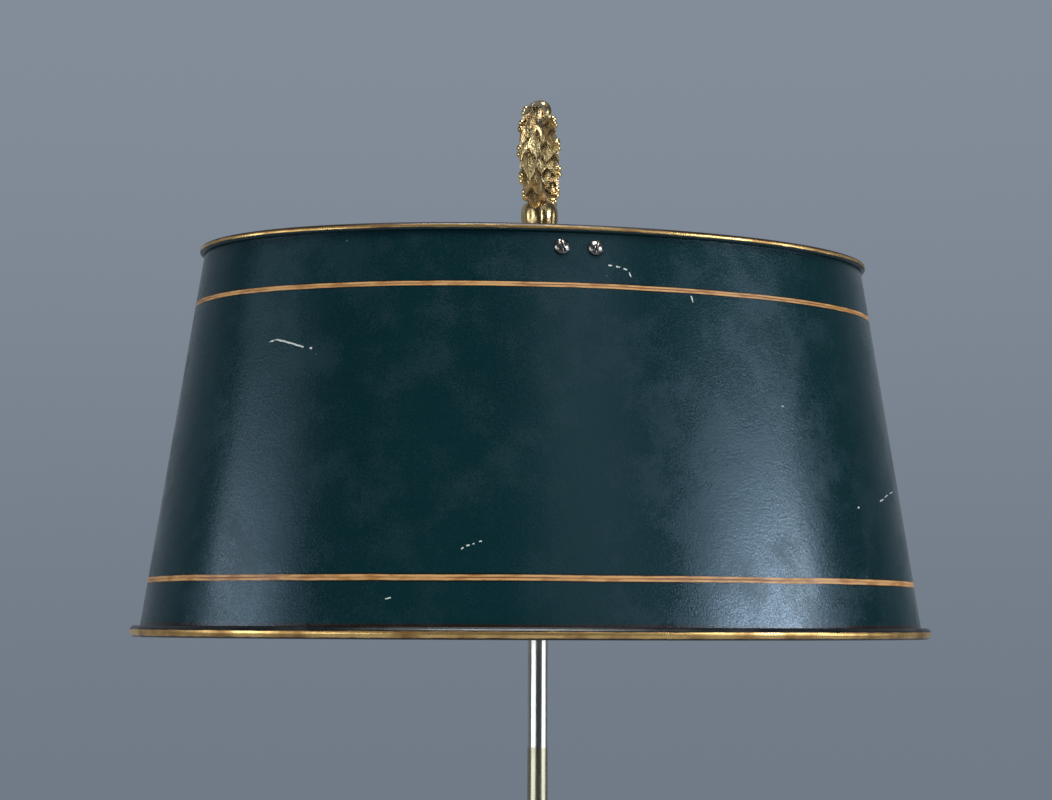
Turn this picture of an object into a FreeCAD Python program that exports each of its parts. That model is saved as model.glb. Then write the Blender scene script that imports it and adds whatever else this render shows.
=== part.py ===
import FreeCAD, Part
import math
import os
import re

import Sketcher

# Bouillotte lamp: a gilt dished base, a fluted stem, two scroll arms with electric candles,
# and an oval painted tin shade that slides and turns on a long steel rod under a wreath handle.
# Millimetres, Z up, origin at the centre of the felt's underside, the arms and the shade along X.

DOC = FreeCAD.newDocument("bouillotte_lamp")

SIZES = {
    # felt, cover plate and ballast under the base
    "felt_set_back": 1.0,
    "felt_thickness": 2.0,
    "plate_set_back": 2.0,
    "plate_thickness": 1.5,
    "ballast_radius": 68.0,
    "ballast_thickness": 8.4,
    "ballast_boss_radius": 12.5,
    "ballast_recess_radius": 14.0,
    "ballast_recess_depth": 11.0,
    # dished base
    "base_radius": 86.0,
    "base_wall": 3.0,
    "plinth_height": 10.5,
    "roll_height": 8.0,
    "roll_set_back": 1.4,
    "rim_lip": 2.0,
    "rim_width": 4.6,
    "tray_edge": 4.5,
    "tray_depth": 7.0,
    "tray_inner_radius": 45.0,
    "cove_height": 29.0,
    "neck_radius": 20.0,
    "neck_bead": 3.0,
    "neck_band": 2.5,
    # cord inlet at the back of the base
    "inlet_bore": 3.2,
    "inlet_wall": 1.0,
    "inlet_flange_radius": 4.9,
    "inlet_flange_thickness": 1.4,
    "inlet_length": 7.5,
    # steel rod, tube all the way
    "rod_radius": 5.0,
    "rod_bore": 3.5,
    "rod_clearance": 0.15,
    "rod_window": 2.4,
    "rod_nut_height": 6.0,
    "rod_nut_radius": 9.0,
    "washer_radius": 11.5,
    "washer_thickness": 1.5,
    # stem: foot moulding, fluted shaft, capital
    "foot_height": 14.0,
    "foot_radius": 18.5,
    "shaft_height": 86.0,
    "shaft_radius": 11.0,
    "shaft_band": 4.0,
    "shaft_band_radius": 12.6,
    "flute_radius": 2.2,
    "flute_depth": 1.1,
    "flute_margin": 6.0,
    "capital_height": 14.0,
    "capital_radius": 15.5,
    # hub that holds the arms and the switch
    "hub_height": 32.0,
    "hub_radius": 25.0,
    "hub_wall": 3.0,
    "hub_neck_radius": 16.0,
    "hub_cap_height": 15.0,
    "lock_ring_height": 9.0,
    "lock_ring_radius": 9.5,
    # scroll arms
    "arm_reach": 80.0,
    "arm_radius": 4.5,
    "arm_bore": 2.4,
    "arm_start": 16.0,
    "arm_straight": 14.0,
    "arm_dip": 40.0,
    "arm_bend_up": 20.0,
    "arm_rise": 7.0,
    "arm_boss_radius": 7.0,
    "arm_boss_height": 8.0,
    "arm_nut_radius": 7.5,
    "arm_nut_thickness": 4.0,
    "volute_radius": 2.5,
    "volute_outer": 11.5,
    "volute_middle": 7.2,
    "volute_inner": 3.8,
    "volute_ball": 3.8,
    "volute_sink": 0.5,
    # drip pan, candle cup and candle
    "nipple_radius": 4.0,
    "nipple_bore": 2.6,
    "nipple_length": 30.0,
    "nipple_grip": 6.0,
    "thread_clearance": 0.1,
    "pan_radius": 31.0,
    "pan_depth": 7.0,
    "pan_thickness": 1.5,
    "pan_foot": 8.5,
    "cup_height": 30.0,
    "cup_floor": 12.0,
    "cup_foot_radius": 8.5,
    "cup_waist_radius": 6.8,
    "cup_lip_radius": 15.8,
    "cup_nut_radius": 6.6,
    "cup_nut_height": 4.0,
    "sleeve_radius": 12.5,
    "sleeve_wall": 1.1,
    "sleeve_height": 77.0,
    "sleeve_clearance": 0.2,
    # lamp holder and bulb
    "holder_radius": 10.6,
    "holder_height": 43.0,
    "holder_foot_radius": 6.2,
    "holder_foot_height": 24.0,
    "holder_floor": 6.0,
    "shell_radius": 8.2,
    "shell_wall": 0.5,
    "shell_height": 22.0,
    "cap_radius": 6.9,
    "cap_height": 19.0,
    "cap_wall": 0.4,
    "contact_radius": 3.0,
    "contact_height": 3.0,
    "bulb_height": 80.0,
    "bulb_low_radius": 11.5,
    "bulb_low_height": 17.3,
    "bulb_high_radius": 8.5,
    "bulb_high_height": 63.8,
    "glass_wall": 0.7,
    "stem_radius": 2.0,
    "stem_height": 20.0,
    "stem_flat": 1.0,
    "filament_radius": 0.4,
    "filament_height": 22.0,
    "filament_crown": 1.5,
    "tip_flat": 0.6,
    # rotary switch in the hub
    "switch_radius": 7.0,
    "switch_length": 12.0,
    "switch_neck_radius": 3.5,
    "switch_neck_length": 8.0,
    "switch_nut_radius": 5.6,
    "switch_nut_thickness": 1.8,
    "knob_shaft_radius": 1.5,
    "knob_gap": 1.0,
    "knob_radius": 6.5,
    "knob_length": 10.0,
    "knob_neck_radius": 3.4,
    "running_clearance": 0.05,
    # oval shade of painted sheet with a rolled bead at each edge
    "shade_seat": 455.0,
    "shade_height": 182.0,
    "shade_bottom_major": 191.0,
    "shade_bottom_minor": 127.5,
    "shade_top_major": 164.0,
    "shade_top_minor": 91.5,
    "sheet_thickness": 0.8,
    "bottom_bead": 2.8,
    "top_bead": 1.8,
    "bead_bite": 0.25,
    # crossbar and screws that carry the shade
    "screw_drop": 8.8,
    "screw_spacing": 15.6,
    "screw_radius": 2.0,
    "screw_hole": 2.4,
    "screw_head_radius": 3.6,
    "screw_head_height": 2.4,
    "screw_length": 8.0,
    "screw_slot_width": 0.9,
    "screw_slot_depth": 1.2,
    "screw_clearance": 0.15,
    "nut_radius": 3.9,
    "nut_thickness": 3.0,
    "bar_drop": 17.0,
    "bar_width": 15.0,
    "bar_thickness": 2.5,
    "bar_disc_width": 7.0,
    "tab_width": 30.0,
    "tab_thickness": 2.0,
    "tab_drop": 3.5,
    "bearing_radius": 12.0,
    "bearing_height": 8.0,
    "bearing_neck_radius": 8.0,
    "bearing_nut_radius": 11.5,
    "bearing_nut_height": 4.5,
    # clamp collar with its thumb screw
    "collar_radius": 11.0,
    "collar_height": 17.0,
    "collar_waist": 1.2,
    "boss_radius": 4.0,
    "boss_length": 5.0,
    "thumb_radius": 2.5,
    "thumb_gap": 0.15,
    "thumb_neck": 6.0,
    "thumb_head_radius": 8.0,
    "thumb_head_hole": 4.6,
    "thumb_head_thickness": 2.6,
    # handle on the rod's top end
    "handle_gap": 0.3,
    "socket_height": 38.5,
    "socket_foot_radius": 9.6,
    "socket_cup_radius": 9.4,
    "socket_cup_height": 11.0,
    "socket_top_radius": 7.4,
    "rod_in_socket": 24.0,
    "wreath_height": 54.0,
    "wreath_core": 4.3,
    "wreath_leaf": 6.2,
    "wreath_leaf_tip": 3.6,
    "wreath_leaf_length": 14.0,
    "wreath_sink": 5.0,
    "wreath_turn": 22.6,
}

# Heights and other sizes that follow from the ones above.
LEVELS = {
    "plate_top": "felt_thickness + plate_thickness",
    "plate_radius": "base_radius - plate_set_back",
    "felt_radius": "plate_radius - felt_set_back",
    "plinth_top": "plate_top + plinth_height",
    "roll_top": "plinth_top + roll_height",
    "rim_top": "roll_top + rim_lip",
    "tray_floor": "rim_top - tray_depth",
    "cove_top": "tray_floor + cove_height",
    "dish_top": "cove_top + neck_band + neck_bead",
    "dish_ceiling": "dish_top - base_wall",
    "cavity_top": "tray_floor - base_wall",
    "inlet_height": "plate_top + plinth_height / 2",
    "rod_hole": "rod_radius + rod_clearance",
    "ballast_bottom": "cavity_top - sheet_gap - ballast_thickness",
    "sheet_gap": "rod_clearance * 2",
    "washer_bottom": "ballast_bottom + ballast_recess_depth - washer_thickness",
    "rod_bottom": "washer_bottom - rod_nut_height - 1",
    "foot_top": "dish_top + foot_height",
    "shaft_top": "foot_top + shaft_height",
    "capital_top": "shaft_top + capital_height",
    "hub_floor": "capital_top + hub_wall",
    "hub_top": "capital_top + hub_height",
    "hub_middle": "capital_top + hub_height / 2",
    "hub_cap_top": "hub_top + hub_cap_height",
    "lock_ring_top": "hub_cap_top + lock_ring_height",
    "arm_bend_start": "arm_start + arm_straight",
    "arm_bend_down": "(arm_reach - arm_bend_start - arm_bend_up) / sin(arm_dip) - arm_bend_up",
    "arm_dip_x": "arm_bend_start + arm_bend_down * sin(arm_dip)",
    "arm_dip_z": "hub_middle - arm_bend_down * (1 - cos(arm_dip))",
    "arm_low_x": "arm_reach - arm_bend_up",
    "arm_upright_z": "arm_dip_z + arm_bend_up * cos(arm_dip)",
    "arm_low_z": "arm_upright_z - arm_bend_up",
    "arm_top": "arm_upright_z + arm_rise",
    "volute_z": "arm_low_z - arm_radius + volute_radius + volute_sink",
    "volute_low": "volute_z - 2 * volute_outer",
    "volute_high": "volute_low + 2 * volute_middle",
    "pan_top": "arm_top + pan_thickness",
    "cup_floor_top": "pan_top + cup_floor",
    "cup_top": "pan_top + cup_height",
    "cup_nut_top": "cup_floor_top + cup_nut_height",
    "nipple_hole": "nipple_radius + thread_clearance",
    "nipple_bottom": "arm_top - nipple_grip",
    "nipple_top": "nipple_bottom + nipple_length",
    "sleeve_top": "cup_floor_top + sleeve_height",
    "sleeve_bore": "sleeve_radius - sleeve_wall",
    "holder_waist": "cup_nut_top + thread_clearance + holder_foot_height",
    "holder_top": "holder_waist + 4 + holder_height",
    "shell_bottom": "holder_top - shell_height",
    "cap_bottom": "shell_bottom + contact_height",
    "cap_top": "cap_bottom + cap_height",
    "bulb_top": "cap_top + bulb_height",
    "bulb_low_z": "cap_top + bulb_low_height",
    "bulb_high_z": "cap_top + bulb_high_height",
    "switch_back": "rod_radius + 2",
    "switch_front": "switch_back + switch_length",
    "switch_neck_end": "switch_front + switch_neck_length",
    "knob_back": "switch_neck_end + knob_gap",
    "shade_top": "shade_seat + shade_height",
    "screw_z": "shade_top - screw_drop",
    "screw_rise": "1 - screw_drop / shade_height",
    "screw_major": "shade_bottom_major + (shade_top_major - shade_bottom_major) * screw_rise",
    "screw_minor": "shade_bottom_minor + (shade_top_minor - shade_bottom_minor) * screw_rise",
    "screw_y": "screw_minor * sqrt(1 - (screw_spacing / 2 / screw_major) ^ 2)",
    "wall_slope": "(shade_bottom_minor - shade_top_minor) / shade_height",
    "bar_bottom": "shade_top - bar_drop",
    "bar_top": "bar_bottom + bar_thickness",
    "bearing_bottom": "bar_bottom - bearing_height",
    "bearing_nut_top": "bar_top + bearing_nut_height",
    "bearing_bore": "rod_radius + running_clearance",
    "collar_bottom": "bearing_bottom - collar_height",
    "thumb_z": "bearing_bottom - collar_height / 2",
    "thumb_head_start": "collar_radius + boss_length + thumb_neck",
    "socket_bottom": "bearing_nut_top + handle_gap",
    "socket_top": "socket_bottom + socket_height",
    "socket_cup_bottom": "socket_top - socket_cup_height",
    "rod_top": "socket_bottom + rod_in_socket",
    "wreath_radius": "(wreath_height + wreath_sink) / 2",
    "wreath_middle": "socket_top - wreath_sink + wreath_radius",
    "wreath_line": "wreath_radius - wreath_leaf",
}


def fill_sheet(name, rows, lead=""):
    """A spreadsheet with one named cell for each row."""
    sheet = DOC.addObject("Spreadsheet::Sheet", name)
    for row, (alias, value) in enumerate(rows.items(), start=1):
        sheet.set(f"A{row}", alias)
        sheet.set(f"B{row}", lead + str(value))
        sheet.setAlias(f"B{row}", alias)
    DOC.recompute()
    return sheet


def bound(formula):
    """The formula with the sheet's name in front of each size and level."""

    def with_sheet(found):
        word = found.group(0)
        if word in SIZES:
            return "Sizes." + word
        return "Levels." + word if word in LEVELS else word

    return re.sub(r"[a-z_]+", with_sheet, formula)


SIZE_SHEET = fill_sheet("Sizes", SIZES)
LEVEL_SHEET = fill_sheet("Levels", {name: bound(rule) for name, rule in LEVELS.items()}, "=")


def amount(name):
    """The number that a size or a level has now."""
    sheet = SIZE_SHEET if name in SIZES else LEVEL_SHEET
    return float(sheet.get(name))


def bind(thing, **formulas):
    """Ties properties to formulas; a double underscore in a name stands for a dot."""
    for name, formula in formulas.items():
        thing.setExpression(name.replace("__", "."), bound(formula))


def new_sketch(body, role, name):
    """A sketch on one of the body's own origin planes."""
    sketch = body.newObject("Sketcher::SketchObject", name)
    plane = next(f for f in body.Origin.OriginFeatures if f.Role == role)
    sketch.AttachmentSupport = [(plane, "")]
    sketch.MapMode = "FlatFace"
    return sketch


def hold(sketch, name, rule, formula):
    """Adds a named dimension that follows a formula."""
    index = sketch.addConstraint(rule)
    sketch.renameConstraint(index, name)
    sketch.setExpression("Constraints." + name, bound(formula))


def draw(sketch, corners, closed=True):
    """Lines and arcs through corners (across, up) or (across, up, turn): an arc turns by that
    many degrees on its way to its corner, to the left when positive."""
    for i, corner in enumerate(corners):
        sketch.addGeometry(Part.Point(FreeCAD.Vector(10 + i, 10 + 2 * i, 0)), True)
        across = Sketcher.Constraint("DistanceX", -1, 1, i, 1, 10.0 + i)
        hold(sketch, f"across{i}", across, corner[0])
        up = Sketcher.Constraint("DistanceY", -1, 1, i, 1, 10.0 + 2 * i)
        hold(sketch, f"up{i}", up, corner[1])
    sketch.recompute()
    spots = [FreeCAD.Vector(p.X, p.Y, 0) for p in sketch.Geometry]
    for i in range(len(corners) if closed else len(corners) - 1):
        j = (i + 1) % len(corners)
        turn = math.radians(corners[j][2]) if len(corners[j]) > 2 else 0.0
        if turn:
            add_arc(sketch, corners, spots, i, j, turn)
        else:
            line = sketch.addGeometry(Part.LineSegment(spots[i], spots[j]), False)
            sketch.addConstraint(Sketcher.Constraint("Coincident", line, 1, i, 1))
            sketch.addConstraint(Sketcher.Constraint("Coincident", line, 2, j, 1))


def add_arc(sketch, corners, spots, i, j, turn):
    """An arc from spot i to spot j that turns by the angle, its radius tied to the chord."""
    chord = spots[j] - spots[i]
    share = 2 * math.sin(abs(turn) / 2)
    radius = chord.Length / share
    left = FreeCAD.Vector(-chord.y, chord.x, 0).normalize()
    reach = math.copysign(radius * math.cos(turn / 2), turn)
    centre = (spots[i] + spots[j]) / 2 + left * reach
    first, last = (i, j) if turn > 0 else (j, i)
    angles = [math.atan2(spots[k].y - centre.y, spots[k].x - centre.x) for k in (first, last)]
    circle = Part.Circle(centre, FreeCAD.Vector(0, 0, 1), radius)
    arc = sketch.addGeometry(Part.ArcOfCircle(circle, *angles), False)
    sketch.addConstraint(Sketcher.Constraint("Coincident", arc, 1, first, 1))
    sketch.addConstraint(Sketcher.Constraint("Coincident", arc, 2, last, 1))
    width = f"({corners[j][0]} - ({corners[i][0]})) ^ 2"
    height = f"({corners[j][1]} - ({corners[i][1]})) ^ 2"
    bend = Sketcher.Constraint("Radius", arc, radius)
    hold(sketch, f"bend{j}", bend, f"sqrt({width} + {height}) / {share:.9f}")


def turned(label, corners):
    """A body turned about its own Z axis from corners (radius, height, turn)."""
    body = DOC.addObject("PartDesign::Body", label)
    sketch = new_sketch(body, "XZ_Plane", label + "_outline")
    draw(sketch, corners)
    turning = body.newObject("PartDesign::Revolution", label + "_turning")
    turning.Profile = (sketch, [""])
    turning.ReferenceAxis = (sketch, ["V_Axis"])
    turning.Angle = 360
    return body


def tube_corners(bore, radius, bottom, top):
    """The outline of a plain ring."""
    return [(bore, bottom), (radius, bottom), (radius, top), (bore, top)]


def drill(body, label, radius, length, start, direction):
    """A round hole from a start point (three formulas) along a direction."""
    hole = body.newObject("PartDesign::SubtractiveCylinder", label)
    bind(hole, Radius=radius, Height=length)
    hole.Placement.Rotation = FreeCAD.Rotation(FreeCAD.Vector(0, 0, 1), FreeCAD.Vector(*direction))
    return place(hole, *start)


def place(thing, x="0", y="0", z="0"):
    """Ties a thing's place to formulas."""
    for axis, formula in zip("xyz", (x, y, z)):
        thing.setExpression(f".Placement.Base.{axis}", bound(formula))
    return thing


def hexagon_nut(label, across, bore, bottom, height):
    """A six-sided nut on the body's own Z axis."""
    body = DOC.addObject("PartDesign::Body", label)
    sketch = new_sketch(body, "XY_Plane", label + "_outline")
    sine = math.sin(math.radians(60))
    corners = []
    for k in range(6):
        east = round(math.cos(math.radians(60 * k)), 6)
        north = sine * (0, 1, 1, 0, -1, -1)[k]
        corners.append((f"{across} * {east}", f"{across} * {north:.9f}"))
    draw(sketch, corners)
    hole = sketch.addGeometry(Part.Circle(FreeCAD.Vector(), FreeCAD.Vector(0, 0, 1), 1), False)
    sketch.addConstraint(Sketcher.Constraint("Coincident", hole, 3, -1, 1))
    hold(sketch, "bore", Sketcher.Constraint("Radius", hole, 1), bore)
    sketch.setExpression(".AttachmentOffset.Base.z", bound(bottom))
    pad = body.newObject("PartDesign::Pad", label + "_pad")
    pad.Profile = (sketch, [""])
    bind(pad, Length=height)
    return body


# Felt, cover plate, ballast and the dished base.


def make_base():
    turned("felt_pad", [
        ("0", "0"),
        ("felt_radius", "0"),
        ("felt_radius", "felt_thickness"),
        ("0", "felt_thickness"),
    ])
    turned("cover_plate", tube_corners("rod_hole", "plate_radius", "felt_thickness", "plate_top"))
    boss_top = "dish_ceiling"
    turned("ballast", [
        ("rod_hole", boss_top),
        ("rod_hole", "ballast_bottom + ballast_recess_depth"),
        ("ballast_recess_radius", "ballast_bottom + ballast_recess_depth"),
        ("ballast_recess_radius", "ballast_bottom"),
        ("ballast_radius", "ballast_bottom"),
        ("ballast_radius", "ballast_bottom + ballast_thickness"),
        ("ballast_boss_radius + 14", "ballast_bottom + ballast_thickness"),
        ("ballast_boss_radius", "ballast_bottom + ballast_thickness + 14", -80),
        ("ballast_boss_radius", boss_top),
    ])
    dish = turned("base_dish", [
        ("rod_hole", "dish_top"),
        ("neck_radius - neck_bead", "dish_top"),
        ("neck_radius", "dish_top - neck_bead", -90),
        ("neck_radius", "cove_top"),
        ("tray_inner_radius", "tray_floor", 84),
        ("base_radius - rim_width - tray_edge", "tray_floor"),
        ("base_radius - rim_width - tray_edge / 4", "rim_top", 66),
        ("base_radius - roll_set_back - 1", "rim_top"),
        ("base_radius - roll_set_back", "roll_top", -80),
        ("base_radius - roll_set_back", "plinth_top", -150),
        ("base_radius", "plinth_top"),
        ("base_radius", "plate_top"),
        ("base_radius - base_wall", "plate_top"),
        ("base_radius - base_wall", "inlet_height + inlet_flange_radius"),
        ("base_radius - rim_width - tray_edge", "cavity_top", 40),
        ("tray_inner_radius - base_wall / 2", "cavity_top"),
        ("neck_radius - base_wall", "cove_top - base_wall", -84),
        ("neck_radius - base_wall", "dish_ceiling"),
        ("rod_hole", "dish_ceiling"),
    ])
    reach = "base_radius - inlet_length - 4"
    width = "inlet_bore + inlet_wall + thread_clearance"
    drill(dish, "inlet_hole", width, "inlet_length + 6", ("0", reach, "inlet_height"), (0, 1, 0))
    bush = turned("cord_bush", [
        ("inlet_bore", "-inlet_length"),
        ("inlet_bore + inlet_wall", "-inlet_length"),
        ("inlet_bore + inlet_wall", "0"),
        ("inlet_flange_radius", "0"),
        ("inlet_flange_radius", "inlet_flange_thickness / 2"),
        ("inlet_flange_radius - inlet_flange_thickness / 2", "inlet_flange_thickness", 90),
        ("inlet_bore", "inlet_flange_thickness"),
    ])
    bush.Placement.Rotation = FreeCAD.Rotation(FreeCAD.Vector(1, 0, 0), -90)
    place(bush, y="base_radius + thread_clearance", z="inlet_height")


# The rod with its nut and washer.


def make_rod():
    rod = turned("rod", tube_corners("rod_bore", "rod_radius", "rod_bottom", "rod_top"))
    window = ("0", "0", "hub_floor + rod_window + 2")
    drill(rod, "lead_window", "rod_window", "rod_radius * 2", window, (0, 1, 0))
    washer_top = "washer_bottom + washer_thickness"
    turned("rod_washer", tube_corners("rod_hole", "washer_radius", "washer_bottom", washer_top))
    bore = "rod_radius + thread_clearance"
    bottom = "washer_bottom - rod_nut_height"
    hexagon_nut("rod_nut", "rod_nut_radius", bore, bottom, "rod_nut_height")


# Foot moulding, fluted shaft and capital, stacked on the base around the rod.


def make_stem():
    turned("stem_foot", [
        ("rod_hole", "dish_top"),
        ("foot_radius - 1.5", "dish_top"),
        ("foot_radius - 1.5", "dish_top + foot_height * 0.45", 150),
        ("foot_radius - 3.5", "dish_top + foot_height * 0.55"),
        ("shaft_band_radius", "foot_top - 1", -70),
        ("shaft_band_radius", "foot_top"),
        ("rod_hole", "foot_top"),
    ])
    shaft = turned("fluted_shaft", [
        ("rod_hole", "foot_top"),
        ("shaft_band_radius", "foot_top"),
        ("shaft_band_radius", "foot_top + shaft_band", 100),
        ("shaft_radius", "foot_top + shaft_band"),
        ("shaft_radius", "shaft_top - shaft_band"),
        ("shaft_band_radius", "shaft_top - shaft_band"),
        ("shaft_band_radius", "shaft_top", 100),
        ("rod_hole", "shaft_top"),
    ])
    sketch = new_sketch(shaft, "XY_Plane", "flute_outline")
    flute = sketch.addGeometry(Part.Circle(FreeCAD.Vector(11, 0, 0), FreeCAD.Vector(0, 0, 1), 2), False)
    sketch.addConstraint(Sketcher.Constraint("PointOnObject", flute, 3, -1))
    distance = Sketcher.Constraint("DistanceX", -1, 1, flute, 3, 11)
    hold(sketch, "place", distance, "shaft_radius + flute_radius - flute_depth")
    hold(sketch, "radius", Sketcher.Constraint("Radius", flute, 2), "flute_radius")
    sketch.setExpression(".AttachmentOffset.Base.z", bound("foot_top + shaft_band + flute_margin / 2"))
    cut = shaft.newObject("PartDesign::Pocket", "flute")
    cut.Profile = (sketch, [""])
    cut.Reversed = True
    bind(cut, Length="shaft_height - 2 * shaft_band - flute_margin")
    ring = shaft.newObject("PartDesign::PolarPattern", "flutes")
    ring.Originals = [cut]
    ring.Axis = (sketch, ["N_Axis"])
    ring.Angle = 360
    ring.Occurrences = 12
    shaft.Tip = ring
    turned("capital", [
        ("rod_hole", "shaft_top"),
        ("shaft_radius", "shaft_top"),
        ("shaft_radius + 1.5", "shaft_top + 2.5"),
        ("capital_radius", "capital_top - 3", 70),
        ("capital_radius", "capital_top", 120),
        ("rod_hole", "capital_top"),
    ])


# Hub with its lid and the ring that locks it on the rod.


def make_hub():
    hub = turned("hub", [
        ("rod_hole", "capital_top"),
        ("hub_neck_radius", "capital_top"),
        ("hub_radius - 2", "capital_top + hub_height * 0.2", 60),
        ("hub_radius", "capital_top + hub_height * 0.28"),
        ("hub_radius", "capital_top + hub_height * 0.8"),
        ("hub_radius - 1", "hub_top - 3"),
        ("hub_radius - 1", "hub_top", 100),
        ("hub_radius - hub_wall", "hub_top"),
        ("hub_radius - hub_wall", "capital_top + hub_height * 0.28"),
        ("hub_neck_radius - hub_wall / 2", "hub_floor", -60),
        ("rod_hole", "hub_floor"),
    ])
    arm_hole = "arm_radius + thread_clearance"
    arm_start = ("-hub_radius - 2", "0", "hub_middle")
    drill(hub, "arm_holes", arm_hole, "hub_radius * 2 + 4", arm_start, (1, 0, 0))
    neck_hole = "switch_neck_radius + thread_clearance"
    switch_start = ("0", "-switch_front", "hub_middle")
    drill(hub, "switch_hole", neck_hole, "hub_radius", switch_start, (0, -1, 0))
    turned("hub_lid", [
        ("rod_hole", "hub_top"),
        ("hub_radius", "hub_top"),
        ("hub_radius", "hub_top + 2.5", 120),
        ("hub_radius - 3", "hub_top + 3.5"),
        ("lock_ring_radius + 1", "hub_cap_top - 2", -70),
        ("lock_ring_radius + 1", "hub_cap_top", 120),
        ("rod_hole", "hub_cap_top"),
    ])
    ring = turned("lock_ring", [
        ("rod_radius + thread_clearance", "hub_cap_top"),
        ("lock_ring_radius", "hub_cap_top"),
        ("lock_ring_radius", "lock_ring_top - 3"),
        ("rod_radius + 2", "lock_ring_top", 80),
        ("rod_radius + thread_clearance", "lock_ring_top"),
    ])
    drill(ring, "grub_hole", "1.6", "lock_ring_radius", ("0", "0", "hub_cap_top + 3.2"), (0, 1, 0))
    grub = turned("grub_screw", [
        ("0", "0"),
        ("1.5", "0"),
        ("1.5", "lock_ring_radius - rod_radius - 0.4"),
        ("0", "lock_ring_radius - rod_radius - 0.4"),
    ])
    grub.Placement.Rotation = FreeCAD.Rotation(FreeCAD.Vector(1, 0, 0), -90)
    place(grub, y="rod_radius + thread_clearance", z="hub_cap_top + 3.2")


# Rotary switch: its case sits in the hub and its knob in front.


def make_switch():
    case = turned("switch_case", [
        ("knob_shaft_radius + running_clearance", "switch_back + 2"),
        ("0", "switch_back + 2"),
        ("0", "switch_back"),
        ("switch_radius", "switch_back"),
        ("switch_radius", "switch_front - 1"),
        ("switch_radius - 1", "switch_front", 90),
        ("switch_neck_radius", "switch_front"),
        ("switch_neck_radius", "switch_neck_end"),
        ("knob_shaft_radius + running_clearance", "switch_neck_end"),
    ])
    bore = "switch_neck_radius + thread_clearance"
    bottom = "hub_radius + thread_clearance"
    nut = hexagon_nut("switch_nut", "switch_nut_radius", bore, bottom, "switch_nut_thickness")
    knob = turned("switch_knob", [
        ("0", "switch_back + 3"),
        ("knob_shaft_radius", "switch_back + 3"),
        ("knob_shaft_radius", "knob_back"),
        ("knob_neck_radius", "knob_back"),
        ("knob_neck_radius", "knob_back + knob_length * 0.2"),
        ("knob_radius", "knob_back + knob_length * 0.45", -60),
        ("knob_radius", "knob_back + knob_length * 0.8"),
        ("knob_radius - 2", "knob_back + knob_length", 80),
        ("0", "knob_back + knob_length"),
    ])
    for piece in (case, nut, knob):
        piece.Placement.Rotation = FreeCAD.Rotation(FreeCAD.Vector(1, 0, 0), 90)
        place(piece, z="hub_middle")


# Scroll arms with their nuts.


def round_section(body, label, radius, x, z):
    """A circle across a pipe that starts along X."""
    sketch = new_sketch(body, "YZ_Plane", label)
    circle = sketch.addGeometry(Part.Circle(FreeCAD.Vector(0, 1, 0), FreeCAD.Vector(0, 0, 1), 1), False)
    sketch.addConstraint(Sketcher.Constraint("PointOnObject", circle, 3, -2))
    hold(sketch, "height", Sketcher.Constraint("DistanceY", -1, 1, circle, 3, 1), z)
    hold(sketch, "radius", Sketcher.Constraint("Radius", circle, 1), radius)
    sketch.setExpression(".AttachmentOffset.Base.z", bound(x))
    return sketch


def pipe(body, kind, label, corners, radius):
    """A round pipe along corners that start out along X."""
    spine = new_sketch(body, "XZ_Plane", label + "_spine")
    draw(spine, corners, closed=False)
    section = round_section(body, label + "_section", radius, corners[0][0], corners[0][1])
    sweep = body.newObject("PartDesign::" + kind, label)
    sweep.Profile = (section, [""])
    sweep.Spine = (spine, [""])
    return sweep


def arm_path(start, end_z):
    """The arm's line: straight out of the hub, down in a dip, and up to the candle."""
    dip = SIZES["arm_dip"]
    return [
        (start, "hub_middle"),
        ("arm_bend_start", "hub_middle"),
        ("arm_dip_x", "arm_dip_z", -dip),
        ("arm_low_x", "arm_low_z", dip),
        ("arm_reach", "arm_upright_z", 90),
        ("arm_reach", end_z),
    ]


def make_arm(side, turn):
    body = DOC.addObject("PartDesign::Body", "arm_" + side)
    pipe(body, "AdditivePipe", "arm_tube_" + side, arm_path("arm_start", "arm_top"), "arm_radius")
    quarter = 90
    volute = [
        ("arm_low_x", "volute_z"),
        ("arm_low_x - volute_outer", "volute_z - volute_outer", quarter),
        ("arm_low_x", "volute_low", quarter),
        ("arm_low_x + volute_middle", "volute_low + volute_middle", quarter),
        ("arm_low_x", "volute_high", quarter),
        ("arm_low_x - volute_inner", "volute_high - volute_inner", quarter),
        ("arm_low_x", "volute_high - 2 * volute_inner", quarter),
    ]
    pipe(body, "AdditivePipe", "volute_" + side, volute, "volute_radius")
    ball = body.newObject("PartDesign::AdditiveSphere", "volute_ball_" + side)
    bind(ball, Radius="volute_ball")
    place(ball, x="arm_low_x", z="volute_high - 2 * volute_inner")
    boss = body.newObject("PartDesign::AdditiveCylinder", "arm_boss_" + side)
    bind(boss, Radius="arm_boss_radius", Height="arm_boss_height")
    place(boss, x="arm_reach", z="arm_top - arm_boss_height")
    pipe(body, "SubtractivePipe", "arm_bore_" + side, arm_path("arm_start", "arm_top"), "arm_bore")
    seat = ("arm_reach", "0", "nipple_bottom")
    drill(body, "nipple_seat_" + side, "nipple_hole", "nipple_grip + 1", seat, (0, 0, 1))
    bore = "arm_radius + thread_clearance"
    nut = hexagon_nut("arm_nut_" + side, "arm_nut_radius", bore, "0", "arm_nut_thickness")
    outward = FreeCAD.Vector(1 if turn == 0 else -1, 0, 0)
    nut.Placement.Rotation = FreeCAD.Rotation(FreeCAD.Vector(0, 0, 1), outward)
    sign = "" if turn == 0 else "-"
    place(nut, x=f"{sign}(arm_start + 0.6)", z="hub_middle")
    body.Placement.Rotation = FreeCAD.Rotation(FreeCAD.Vector(0, 0, 1), turn)


# Drip pan, candle cup, candle sleeve, lamp holder and bulb of one side.


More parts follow.
